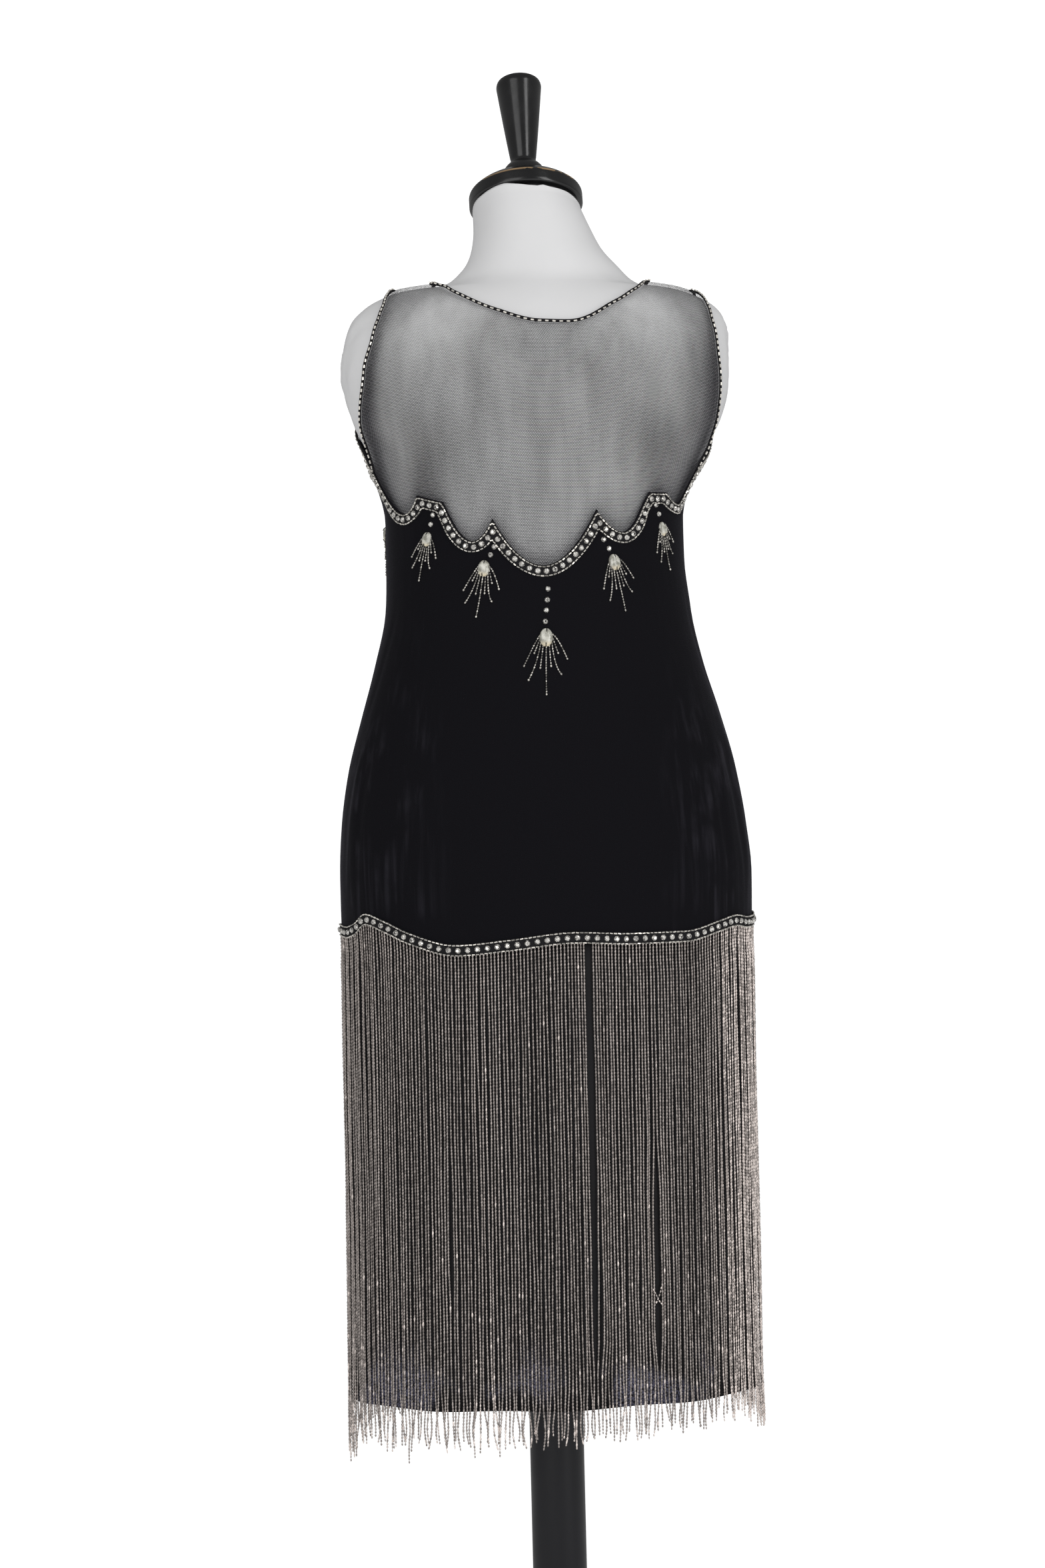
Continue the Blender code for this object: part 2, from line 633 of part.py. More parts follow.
def high_side(angle):
    return (180.0 if angle < 180.0 else 360.0) - SHOULDER_SEAM_GAP_DEG


def side_columns(scallops):
    """Columns of a velvet panel, kept clear of the side seams."""
    angles = scallop_angles(scallops, scallops[0][0], scallops[-1][0])
    angles[0] += SIDE_SEAM_GAP_DEG
    angles[-1] -= SIDE_SEAM_GAP_DEG
    return angles


def build_bodice(name, scallops):
    """Velvet panel from the scalloped edge down to the hip band."""
    angles = side_columns(scallops)
    edge = scallop_height(scallops, angles)
    band = below_edge(scallops, angles, SCALLOP_BAND_WIDTH)
    foot = hip_seam_height(angles)
    rows = [foot]
    for step in range(1, BODICE_ROWS_BELOW_BAND + 1):
        t = step / BODICE_ROWS_BELOW_BAND
        rows.append(foot + (band - foot) * t)
    rows.append(edge)
    heights = np.array(rows)
    columns = np.broadcast_to(angles, heights.shape)
    levels = level_at(heights)
    outer = cloth(columns, levels)
    inner = cloth(columns, levels, -VELVET_WALL)
    return wall_from_grids(name, outer, inner, "velvet")


def build_scallop_band(name, scallops):
    """Beaded band on the velvet along its scalloped edge."""
    angles = side_columns(scallops)
    edge = scallop_height(scallops, angles)
    lower = below_edge(scallops, angles, SCALLOP_BAND_WIDTH)
    heights = np.array([lower, edge])
    columns = np.broadcast_to(angles, heights.shape)
    levels = level_at(heights)
    outer = cloth(columns, levels, GAP + BAND_THICKNESS)
    inner = cloth(columns, levels, GAP)
    return wall_from_grids(name, outer, inner, "beaded_band")


def build_hip_band():
    """Beaded band round the hips."""
    angles = np.linspace(0, 360, HIP_BAND_COLUMNS, endpoint=False)
    middle = hip_height(angles)
    half = HIP_BAND_WIDTH / 2
    low = level_at(middle - half)
    high = level_at(middle + half)
    under = GAP + HIP_BAND_LIFT
    over = under + BAND_THICKNESS
    loops = (cloth(angles, low, over), cloth(angles, high, over),
             cloth(angles, high, under), cloth(angles, low, under))
    return ring_from_loops("hip_band", loops, "beaded_band")


def build_skirt(name, start):
    """Plain underskirt from the hip band down to the hem."""
    angles = np.linspace(start + SIDE_SEAM_GAP_DEG, start + 180 - SIDE_SEAM_GAP_DEG, SKIRT_COLUMNS)
    rows = [np.full(SKIRT_COLUMNS, height) for height in SKIRT_HEIGHTS]
    rows.append(hip_seam_height(angles) - HIP_SEAM_GAP)
    heights = np.array(rows)
    columns = np.broadcast_to(angles, heights.shape)
    levels = level_at(heights)
    outer = cloth(columns, levels)
    inner = cloth(columns, levels, -SKIRT_WALL)
    return wall_from_grids(name, outer, inner, "underskirt")


def build_binding(name, parts, inward):
    """Narrow beaded binding round an opening, just outside the cloth's edge."""
    line = np.concatenate(parts)
    angles = line[:, 0]
    levels = line[:, 1]
    near = beside(angles, levels, inward * BINDING_GAP, True)
    far = beside(angles, levels, inward * (BINDING_GAP + BINDING_WIDTH), True)
    rise = BINDING_HEIGHT - NET_WALL
    loops = (cloth(near[0], near[1], rise), cloth(far[0], far[1], rise),
             cloth(far[0], far[1], -NET_WALL), cloth(near[0], near[1], -NET_WALL))
    return ring_from_loops(name, loops, "binding")


def velvet_corner(scallops, low, high):
    """Velvet edge that takes part in an armhole, between two angles."""
    angles = side_columns(scallops)
    angles = np.array([angle for angle in angles if low - 0.2 <= angle <= high + 0.2])
    return np.stack([angles, level_at(scallop_height(scallops, angles))], -1)


# fringe

def build_fringe(name, start, seed):
    """Beaded strands that hang from one narrow strip below the hip band."""
    chance = random.Random(seed)
    step = 180.0 / STRANDS_PER_SIDE
    middles = start + step * (np.arange(STRANDS_PER_SIDE) + 0.5)
    foot = band_height(middles) - HIP_BAND_WIDTH / 2 - FRINGE_SEAM_GAP
    top = level_at(foot)
    root = level_at(foot - FRINGE_STRIP_HEIGHT)
    per_degree = np.linalg.norm(cloth(middles + 0.5, root) - cloth(middles - 0.5, root), axis=-1)
    half = STRAND_WIDTH / 2 / per_degree
    layers = {
        "top_out": cloth(middles, top, FRINGE_LIFT + STRAND_DEPTH),
        "top_in": cloth(middles, top, FRINGE_LIFT),
        "root_left": cloth(middles - half, root, FRINGE_LIFT + STRAND_DEPTH),
        "root_right": cloth(middles + half, root, FRINGE_LIFT + STRAND_DEPTH),
        "root_in": cloth(middles, root, FRINGE_LIFT),
    }
    ends = {"end_left": [], "end_right": [], "end_in": []}
    for i, angle in enumerate(middles):
        out = outward(np.array([angle]), np.array([root[i]]))[0]
        out[2] = 0.0
        out /= np.linalg.norm(out)
        right = np.array([-out[1], out[0], 0.0])
        sway = chance.uniform(-0.0006, 0.0006)
        end = FRINGE_END_HEIGHT + chance.uniform(-0.006, 0.006)
        for key, source in (("end_left", "root_left"), ("end_right", "root_right"), ("end_in", "root_in")):
            point = layers[source][i] + out * FRINGE_END_SPREAD + right * sway
            point[2] = end
            ends[key].append(point)
    for key, points in ends.items():
        layers[key] = np.array(points)
    names = list(layers)
    count = STRANDS_PER_SIDE
    vertices = np.concatenate([layers[key] for key in names])

    def corner(key, i):
        return names.index(key) * count + i

    faces = []
    for i in range(count):
        faces.append((corner("top_out", i), corner("root_left", i), corner("root_right", i)))
        for one, two in (("left", "right"), ("right", "in"), ("in", "left")):
            faces.append((corner("root_" + one, i), corner("end_" + one, i),
                          corner("end_" + two, i), corner("root_" + two, i)))
        faces.append((corner("end_left", i), corner("end_in", i), corner("end_right", i)))
    for i in range(count - 1):
        j = i + 1
        faces.append((corner("top_out", i), corner("root_right", i), corner("root_left", j), corner("top_out", j)))
        faces.append((corner("top_in", i), corner("top_in", j), corner("root_in", j), corner("root_in", i)))
        faces.append((corner("top_out", i), corner("top_out", j), corner("top_in", j), corner("top_in", i)))
        faces.append((corner("root_right", i), corner("root_in", i), corner("root_in", j), corner("root_left", j)))
    first = ("top_out", "top_in", "root_in", "root_left")
    last = ("top_out", "root_right", "root_in", "top_in")
    faces.append(tuple(corner(key, 0) for key in first))
    faces.append(tuple(corner(key, count - 1) for key in last))
    return new_object(name, vertices, faces, "bead_fringe", smooth=False)


# sprays

PANELS = {}


def spray_point(row, x, y, out):
    """Point above the velvet, in metres from the middle of the spray's stone."""
    name, angle, height, turn, size = row
    bend = math.radians(turn)
    across = (x * math.cos(bend) - y * math.sin(bend)) * size
    along = (x * math.sin(bend) + y * math.cos(bend)) * size
    place = slide(np.array(angle), level_at(height), across, 0.0)
    level = level_at(height + along)
    start = Vector(cloth(place[0], level, 0.03))
    way = Vector(outward(place[0], level))
    hit = PANELS["back" if "back" in name else "front"].ray_cast(start, -way)
    return np.array(hit[0] + way * out)


def keep_panel(key, obj):
    """The sprays are laid on this panel."""
    mesh = obj.data
    mesh.calc_loop_triangles()
    faces = [tuple(triangle.vertices) for triangle in mesh.loop_triangles]
    PANELS[key] = BVHTree.FromPolygons([vertex.co[:] for vertex in mesh.vertices], faces)


def build_spray(row):
    """One closed body: a domed stone with flat beaded rays that leave its rim."""
    size = row[4]
    rim = []
    faces = []
    low = []
    high = []

    def corner(x, y, out):
        low.append(spray_point(row, x, y, STONE_BASE))
        high.append(spray_point(row, x, y, out))
        return len(low) - 1

    upper = []
    lower = []
    walls = []
    for ray in RAYS:
        places = [np.array(ray[i:i + 2]) / 1000 for i in (0, 2, 4)]
        if np.allclose(places[1], places[2]):
            places.pop()
        sides = []
        for i, place in enumerate(places):
            way = places[min(i + 1, len(places) - 1)] - places[max(i - 1, 0)]
            side = np.array([way[1], -way[0]]) / np.linalg.norm(way) * RAY_HALF_WIDTH / size ** 0.5
            sides.append((corner(*(place + side), RAY_TOP), corner(*(place - side), RAY_TOP)))
        rim += [sides[0][0], sides[0][1]]
        for here, there in zip(sides, sides[1:]):
            upper.append((here[0], there[0], there[1], here[1]))
            walls += [(here[0], there[0]), (there[1], here[1])]
        walls.append(sides[-1])
    for x, y in UPPER_RIM:
        rim.append(corner(x / 1000, y / 1000, STONE_EDGE))
    for i, here in enumerate(rim):
        there = rim[(i + 1) % len(rim)]
        if i % 2 == 1 or i >= 2 * len(RAYS):
            walls.append((here, there))
    count = len(low)
    dome = []
    for side in range(STONE_TOP_SIDES):
        turn = 2 * math.pi * (side + 0.5) / STONE_TOP_SIDES
        x = -STONE_HALF_WIDTH * STONE_TOP_SHARE * math.sin(turn)
        y = STONE_HALF_HEIGHT * STONE_TOP_SHARE * math.cos(turn)
        dome.append(spray_point(row, x, y, STONE_TOP))
    vertices = low + high + dome
    for face in upper:
        faces.append(tuple(count + corner_number for corner_number in face))
        faces.append(tuple(reversed(face)))
    faces.append(tuple(reversed(rim)))
    for here, there in walls:
        faces.append((here, there, count + there, count + here))
    crown = [2 * count + side for side in range(STONE_TOP_SIDES)]
    faces.append(tuple(crown))
    faces += stitch(vertices, [count + number for number in rim], crown)
    spray = new_object(row[0], vertices, faces, "stone", smooth=False)
    return spray


def stitch(vertices, outer, inner):
    """Triangles between two closed rings of different counts."""
    centre = np.mean([vertices[number] for number in inner], axis=0)
    first = np.array(vertices[outer[0]]) - centre
    nearest = min(range(len(inner)), key=lambda i: np.linalg.norm(vertices[inner[i]] - centre - first * 0.5))
    inner = inner[nearest:] + inner[:nearest]
    faces = []
    i = 0
    j = 0
    while i < len(outer) or j < len(inner):
        outer_here = outer[i % len(outer)]
        inner_here = inner[j % len(inner)]
        outer_next = outer[(i + 1) % len(outer)]
        inner_next = inner[(j + 1) % len(inner)]
        by_outer = np.linalg.norm(vertices[outer_next] - vertices[inner_here])
        by_inner = np.linalg.norm(vertices[inner_next] - vertices[outer_here])
        if j >= len(inner) or (i < len(outer) and by_outer <= by_inner):
            faces.append((outer_here, outer_next, inner_here))
            i += 1
        else:
            faces.append((outer_here, inner_next, inner_here))
            j += 1
    return faces


def apply_modifiers(obj):
    bpy.context.view_layer.update()
    graph = bpy.context.evaluated_depsgraph_get()
    mesh = bpy.data.meshes.new_from_object(obj.evaluated_get(graph))
    obj.modifiers.clear()
    obj.data = mesh


# dress form and stand

def build_form():
    """Closed body of the dress form from the hips to the cut neck."""
    runs = [np.linspace(level_at(low), level_at(high), count, endpoint=False)
            for low, high, count in FORM_LEVEL_RUNS]
    levels = np.concatenate(runs + [[LAST_LEVEL]])
    angles = np.linspace(0, 360, FORM_SIDES, endpoint=False)
    rings = []
    edge = skin(angles, np.full(FORM_SIDES, levels[0]))
    centre = edge.mean(axis=0)
    under = centre + (edge - centre) * 0.90
    under[:, 2] = FORM_BOTTOM - 0.012
    rings.append(under)
    for level in levels:
        here = np.full(FORM_SIDES, level)
        rings.append(skin(angles, here) - outward(angles, here) * FORM_INSET)
    vertices = np.concatenate(rings)
    faces = [tuple(range(FORM_SIDES - 1, -1, -1))]
    for ring in range(len(rings) - 1):
        a = ring * FORM_SIDES
        b = a + FORM_SIDES
        for side in range(FORM_SIDES):
            following = (side + 1) % FORM_SIDES
            faces.append((a + side, a + following, b + following, b + side))
    top = (len(rings) - 1) * FORM_SIDES
    faces.append(tuple(top + side for side in range(FORM_SIDES)))
    return new_object("form_torso", vertices, faces, "jersey")


def build_turned(name, profile, steps, colour_name):
    """Round piece turned from a profile of radius and height."""
    mesh = bpy.data.meshes.new(name)
    points = [(radius, 0.0, height) for radius, height in profile]
    mesh.from_pydata(points, [(i, i + 1) for i in range(len(points) - 1)], [])
    obj = bpy.data.objects.new(name, mesh)
    bpy.context.scene.collection.objects.link(obj)
    screw = obj.modifiers.new("turn", "SCREW")
    screw.steps = steps
    screw.render_steps = steps
    screw.use_merge_vertices = True
    screw.merge_threshold = 0.00005
    apply_modifiers(obj)
    obj.data.shade_smooth()
    face_outwards(obj)
    paint(obj, colour_name)
    return obj


def build_pole():
    low = BASE_PROFILE[-1][1] + GAP
    high = FORM_BOTTOM - 0.012 - GAP
    bpy.ops.mesh.primitive_cylinder_add(vertices=POLE_SIDES, radius=POLE_RADIUS, depth=high - low,
                                        location=(0.0, 0.0, (low + high) / 2))
    pole = bpy.context.object
    pole.name = "stand_pole"
    pole.data.shade_smooth()
    paint(pole, "pole_black")
    return pole


def set_on_neck(obj):
    """Turned pieces of the head stand square on the slanted neck."""
    top = SECTIONS[-1]
    obj.location = Vector((top[5], top[2], top[0]))
    obj.rotation_euler = (-HEAD_LEAN, 0.0, 0.0)


def main():
    for obj in list(bpy.data.objects):
        bpy.data.objects.remove(obj, do_unlink=True)
    dress = bpy.data.collections.new("flapper_dress_on_dress_form")
    bpy.context.scene.collection.children.link(dress)

    pieces = [build_form()]
    cap = build_turned("neck_cap", CAP_PROFILE, CAP_STEPS, "turned_black")
    finial = build_turned("finial", FINIAL_PROFILE, FINIAL_STEPS, "turned_black")
    set_on_neck(cap)
    set_on_neck(finial)
    pieces += [cap, finial, build_pole()]
    pieces.append(build_turned("stand_base", BASE_PROFILE, BASE_STEPS, "turned_black"))

    pieces.append(build_yoke("yoke_back", SCALLOP_BACK, 187.0, 346.0, ARMHOLE_LEFT_BACK,
                             ARMHOLE_RIGHT_BACK, NECKLINE_BACK))
    pieces.append(build_yoke("yoke_front", SCALLOP_FRONT, 13.0, 167.0, ARMHOLE_RIGHT_FRONT,
                             ARMHOLE_LEFT_FRONT, NECKLINE_FRONT))
    pieces.append(build_bodice("bodice_back", SCALLOP_BACK))
    pieces.append(build_bodice("bodice_front", SCALLOP_FRONT))
    keep_panel("back", pieces[-2])
    keep_panel("front", pieces[-1])
    pieces.append(build_skirt("skirt_back", 180.0))
    pieces.append(build_skirt("skirt_front", 0.0))
    pieces.append(build_scallop_band("scallop_band_back", SCALLOP_BACK))
    pieces.append(build_scallop_band("scallop_band_front", SCALLOP_FRONT))
    pieces.append(build_hip_band())
    back = EDGES["yoke_back"]
    front = EDGES["yoke_front"]
    pieces.append(build_binding("neck_binding", (back["neck"][:-1], front["neck"][:-1]), 1))
    pieces.append(build_binding("armhole_binding_left", (
        front["high"][:-1], back["low"][::-1], velvet_corner(SCALLOP_BACK, 180.0, 187.0)[-2:0:-1],
        velvet_corner(SCALLOP_FRONT, 167.0, 180.0)[:0:-1]), -1))
    pieces.append(build_binding("armhole_binding_right", (
        back["high"][:-1], front["low"][::-1], velvet_corner(SCALLOP_FRONT, 0.0, 13.0)[-2:0:-1],
        velvet_corner(SCALLOP_BACK, 346.0, 360.0)[:0:-1]), -1))
    pieces.append(build_fringe("fringe_back", 180.0, FRINGE_SEED))
    pieces.append(build_fringe("fringe_front", 0.0, FRINGE_SEED + 1))
    for row in SPRAYS:
        pieces.append(build_spray(row))

    for piece in pieces:
        for holder in list(piece.users_collection):
            holder.objects.unlink(piece)
        dress.objects.link(piece)


main()
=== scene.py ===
"""Cloth, beads and stand of a beaded flapper dress on its limbless dress form.

Metres, +Z up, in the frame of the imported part. The back of the dress faces -Y.
"""

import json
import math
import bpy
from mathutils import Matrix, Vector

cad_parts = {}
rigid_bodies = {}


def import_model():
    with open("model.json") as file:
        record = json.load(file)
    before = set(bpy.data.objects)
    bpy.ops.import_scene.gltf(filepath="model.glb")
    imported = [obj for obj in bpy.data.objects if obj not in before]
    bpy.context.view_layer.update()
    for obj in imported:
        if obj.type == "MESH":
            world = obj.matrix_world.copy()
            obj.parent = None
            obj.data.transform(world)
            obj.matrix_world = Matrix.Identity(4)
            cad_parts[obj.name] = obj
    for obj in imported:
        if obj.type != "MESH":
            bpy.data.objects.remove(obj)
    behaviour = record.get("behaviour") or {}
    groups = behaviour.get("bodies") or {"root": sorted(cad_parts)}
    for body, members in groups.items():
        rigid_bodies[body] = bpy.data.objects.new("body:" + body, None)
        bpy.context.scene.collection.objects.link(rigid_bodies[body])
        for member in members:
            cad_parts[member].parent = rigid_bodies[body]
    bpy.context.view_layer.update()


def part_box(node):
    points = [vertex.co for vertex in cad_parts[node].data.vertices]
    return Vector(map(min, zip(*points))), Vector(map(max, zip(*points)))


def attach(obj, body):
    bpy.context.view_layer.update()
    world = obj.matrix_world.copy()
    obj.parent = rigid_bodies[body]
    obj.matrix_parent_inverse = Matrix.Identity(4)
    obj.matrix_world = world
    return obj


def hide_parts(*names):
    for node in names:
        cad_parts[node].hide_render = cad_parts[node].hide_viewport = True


bl_info = {
    "name": "Beaded Flapper Dress",
    "version": (1, 0, 0),
    "blender": (4, 5, 0),
    "location": "3D View > Sidebar > Flapper Dress",
    "description": "Builds the cloth, the beading and the fringe of a flapper dress on its dress form",
    "category": "Object",
}

import bpy
import numpy as np
from bpy.props import FloatProperty, FloatVectorProperty, IntProperty, PointerProperty
from mathutils import Matrix, Vector

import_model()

# Sections of the body from the hem up to the neck. Angles go round from 0 at
# +X over 90 at the front, 180 at -X and 270 at the back. Ease is the distance
# from the body to the outside of the dress.
SECTION_COLUMNS = ("height", "half_width", "middle_y", "back", "front",
                   "shift_x", "squareness", "lean", "ease")
SECTIONS = (
    (0.360, 0.1764, 0.000, 0.1080, 0.107, 0.0010, 2.00, 0.00, 0.0085),
    (0.600, 0.1752, 0.000, 0.1110, 0.107, 0.0022, 2.00, 0.00, 0.0085),
    (0.790, 0.1750, 0.000, 0.1145, 0.107, 0.0028, 2.00, 0.00, 0.0085),
    (0.830, 0.1768, 0.000, 0.1160, 0.107, 0.0028, 2.00, 0.00, 0.0085),
    (0.870, 0.1772, 0.000, 0.1170, 0.107, 0.0030, 2.00, 0.00, 0.0085),
    (0.914, 0.1745, 0.000, 0.1160, 0.106, 0.0020, 2.00, 0.00, 0.0080),
    (0.962, 0.1678, 0.000, 0.1120, 0.104, 0.0015, 2.00, 0.00, 0.0072),
    (1.010, 0.1557, 0.000, 0.1060, 0.102, 0.0015, 2.00, 0.00, 0.0066),
    (1.058, 0.1422, 0.000, 0.1010, 0.102, 0.0010, 2.00, 0.00, 0.0060),
    (1.106, 0.1323, 0.000, 0.0980, 0.104, 0.0015, 2.00, 0.00, 0.0055),
    (1.150, 0.1297, 0.000, 0.0970, 0.111, 0.0000, 2.00, 0.00, 0.0048),
    (1.190, 0.1305, 0.000, 0.0980, 0.115, 0.0000, 2.00, 0.00, 0.0038),
    (1.225, 0.1410, 0.000, 0.0990, 0.111, 0.0015, 2.10, 0.00, 0.0028),
    (1.253, 0.1545, 0.000, 0.1000, 0.103, 0.0050, 2.15, 0.00, 0.0025),
    (1.276, 0.1662, 0.000, 0.0990, 0.095, 0.0050, 2.20, 0.00, 0.0023),
    (1.301, 0.1728, 0.000, 0.0970, 0.087, 0.0050, 2.20, 0.00, 0.0022),
    (1.325, 0.1757, 0.000, 0.0920, 0.079, 0.0040, 2.20, 0.00, 0.0022),
    (1.349, 0.1742, 0.000, 0.0850, 0.072, 0.0058, 2.10, 0.00, 0.0022),
    (1.368, 0.1697, 0.001, 0.0770, 0.065, 0.0078, 1.90, 0.00, 0.0026),
    (1.381, 0.1590, 0.002, 0.0700, 0.059, 0.0092, 1.75, 0.00, 0.0032),
    (1.3905, 0.1430, 0.004, 0.0650, 0.054, 0.0090, 1.65, 0.00, 0.0032),
    (1.397, 0.1240, 0.006, 0.0620, 0.051, 0.0085, 1.60, 0.00, 0.0037),
    (1.3995, 0.1010, 0.008, 0.0600, 0.0510, 0.0085, 1.60, 0.00, 0.0037),
    (1.404, 0.0860, 0.009, 0.0580, 0.0492, 0.0118, 1.65, 0.03, 0.0037),
    (1.415, 0.0730, 0.011, 0.0560, 0.048, 0.0122, 1.80, 0.10, 0.0026),
    (1.4305, 0.0610, 0.014, 0.0530, 0.047, 0.0090, 1.95, 0.20, 0.0022),
    (1.450, 0.0540, 0.018, 0.0500, 0.047, 0.0056, 2.00, 0.32, 0.0022),
    (1.468, 0.0500, 0.023, 0.0490, 0.048, 0.0020, 2.00, 0.36, 0.0022),
)

# Soft upright folds of the velvet: angle, top, bottom, half width in degrees
# and height of the ridge.
FOLDS = (
    (198.0, 1.030, 0.835, 5.0, 0.0016),
    (209.0, 1.000, 0.840, 5.0, 0.0013),
    (221.0, 0.960, 0.845, 6.0, 0.0010),
    (320.0, 0.980, 0.840, 6.0, 0.0011),
    (331.0, 1.020, 0.835, 5.0, 0.0015),
    (343.0, 1.030, 0.840, 5.0, 0.0014),
    (16.0, 1.020, 0.840, 5.0, 0.0014),
    (30.0, 0.990, 0.840, 6.0, 0.0012),
    (151.0, 0.980, 0.840, 6.0, 0.0012),
    (164.0, 1.020, 0.835, 5.0, 0.0014),
)

# Turning points of the scalloped upper edge of the velvet: angle, height and
# whether it is a corner (1) or the round bottom of a scallop (0).
SCALLOP_BEND = 1.9
SCALLOP_BACK = (
    (180.0, 1.2370, 1),
    (187.0, 1.2330, 1),
    (207.0, 1.1935, 0),
    (216.5, 1.2085, 1),
    (229.0, 1.2010, 1),
    (241.5, 1.1652, 0),
    (249.5, 1.1840, 1),
    (268.5, 1.1420, 0),
    (289.7, 1.1905, 1),
    (301.0, 1.1712, 0),
    (313.5, 1.2070, 1),
    (324.5, 1.2080, 1),
    (336.5, 1.1995, 0),
    (346.0, 1.2300, 1),
    (360.0, 1.2470, 1),
)
SCALLOP_FRONT = (
    (0.0, 1.2470, 1),
    (13.0, 1.2670, 1),
    (26.0, 1.2150, 0),
    (37.0, 1.2260, 1),
    (48.0, 1.2230, 1),
    (60.0, 1.1860, 0),
    (69.0, 1.2050, 1),
    (90.0, 1.1600, 0),
    (111.0, 1.2050, 1),
    (120.0, 1.1860, 0),
    (132.0, 1.2230, 1),
    (143.0, 1.2260, 1),
    (154.0, 1.2150, 0),
    (167.0, 1.2670, 1),
    (180.0, 1.2370, 1),
)

# Middle line of the beaded band on the hips: angle and height.
HIP_LINE = (
    (0.0, 0.8275), (10.0, 0.8250), (20.0, 0.8244), (29.0, 0.8267),
    (38.0, 0.8232), (53.0, 0.8156), (70.0, 0.8156), (87.0, 0.8180),
    (104.0, 0.8129), (120.0, 0.8087), (135.0, 0.8195), (145.0, 0.8300),
    (154.0, 0.8362), (161.0, 0.8290), (170.0, 0.8244), (180.0, 0.8262),
    (192.0, 0.8244), (199.0, 0.8275), (206.0, 0.8362), (215.0, 0.8300),
    (225.0, 0.8195), (240.0, 0.8090), (256.0, 0.8129), (273.0, 0.8180),
    (290.0, 0.8156), (307.0, 0.8156), (322.0, 0.8232), (331.0, 0.8267),
    (340.0, 0.8244), (350.0, 0.8250), (360.0, 0.8275),
)

# Edges of the net yoke: angle and height.
NECKLINE_BACK = (
    (180.0, 1.4011), (202.0, 1.3990), (224.0, 1.3932), (234.0, 1.3855),
    (254.0, 1.3660), (268.0, 1.3550), (276.0, 1.3540), (294.0, 1.3735),
    (306.0, 1.3860), (323.0, 1.3964), (342.0, 1.3988), (360.0, 1.3996),
)
NECKLINE_FRONT = (
    (0.0, 1.3996), (24.0, 1.3984), (42.0, 1.3961), (53.0, 1.3872),
    (61.0, 1.3680), (69.0, 1.3430), (78.0, 1.3240), (90.0, 1.3170),
    (102.0, 1.3240), (111.0, 1.3430), (119.0, 1.3680), (127.0, 1.3872),
    (138.0, 1.3961), (156.0, 1.3988), (180.0, 1.4011),
)
ARMHOLE_LEFT_BACK = (
    (187.0, 1.2330), (190.0, 1.2490), (197.0, 1.2724), (204.0, 1.2945),
    (210.0, 1.3198), (213.0, 1.3459), (212.5, 1.3640), (209.0, 1.3781),
    (196.0, 1.3917), (180.0, 1.3964),
)
ARMHOLE_LEFT_FRONT = (
    (167.0, 1.2670), (160.0, 1.2790), (153.0, 1.2980), (148.0, 1.3220),
    (146.0, 1.3480), (149.0, 1.3721), (161.0, 1.3905), (180.0, 1.3964),
)
ARMHOLE_RIGHT_BACK = (
    (346.0, 1.2300), (342.5, 1.2500), (338.0, 1.2700), (335.0, 1.2903),
    (333.0, 1.3139), (331.5, 1.3376), (331.0, 1.3600), (334.0, 1.3751),
    (345.0, 1.3881), (360.0, 1.3936),
)
ARMHOLE_RIGHT_FRONT = (
    (13.0, 1.2670), (20.0, 1.2790), (27.0, 1.2980), (32.0, 1.3220),
    (34.0, 1.3480), (31.0, 1.3690), (19.0, 1.3872), (0.0, 1.3936),
)

# Sprays of beads below a big oval stone: name, angle and height of the stone,
# turn of the whole spray in degrees and size.
SPRAYS = (
    ("spray_back_1", 220.3, 1.1688, -14.0, 0.74),
    ("spray_back_2", 245.7, 1.1406, -9.0, 0.86),
    ("spray_back_3", 268.3, 1.0784, 0.0, 1.00),
    ("spray_back_4", 296.7, 1.1441, 9.0, 0.86),
    ("spray_back_5", 323.5, 1.1747, 14.0, 0.74),
    ("spray_front_1", 12.0, 1.1800, -10.0, 0.74),
    ("spray_front_2", 52.0, 1.1560, -9.0, 0.86),
    ("spray_front_3", 90.0, 1.0960, 0.0, 1.00),
    ("spray_front_4", 128.0, 1.1560, 9.0, 0.86),
    ("spray_front_5", 169.0, 1.1800, 8.0, 0.74),
)
# Rays of a spray in millimetres from the middle of its stone, in order round the
# stone from its left: root, bend and tip, each across and up. A bend at the tip
# means a straight ray.
RAYS = (
    (-6.0, 1.2, -11.0, -7.5, -18.8, -24.5),
    (-5.9, -2.6, -10.2, -13.5, -10.2, -13.5),
    (-4.9, -5.6, -8.9, -23.0, -15.1, -37.0),
    (-2.7, -7.6, -5.3, -26.6, -5.3, -26.6),
    (0.0, -8.4, -0.6, -28.5, -1.0, -49.9),
    (2.7, -7.6, 3.7, -25.1, 3.7, -25.1),
    (5.0, -5.2, 7.4, -23.5, 11.8, -32.4),
    (6.1, -1.6, 10.0, -13.8, 10.0, -13.8),
    (5.9, 2.4, 11.4, -4.0, 17.6, -19.0),
)
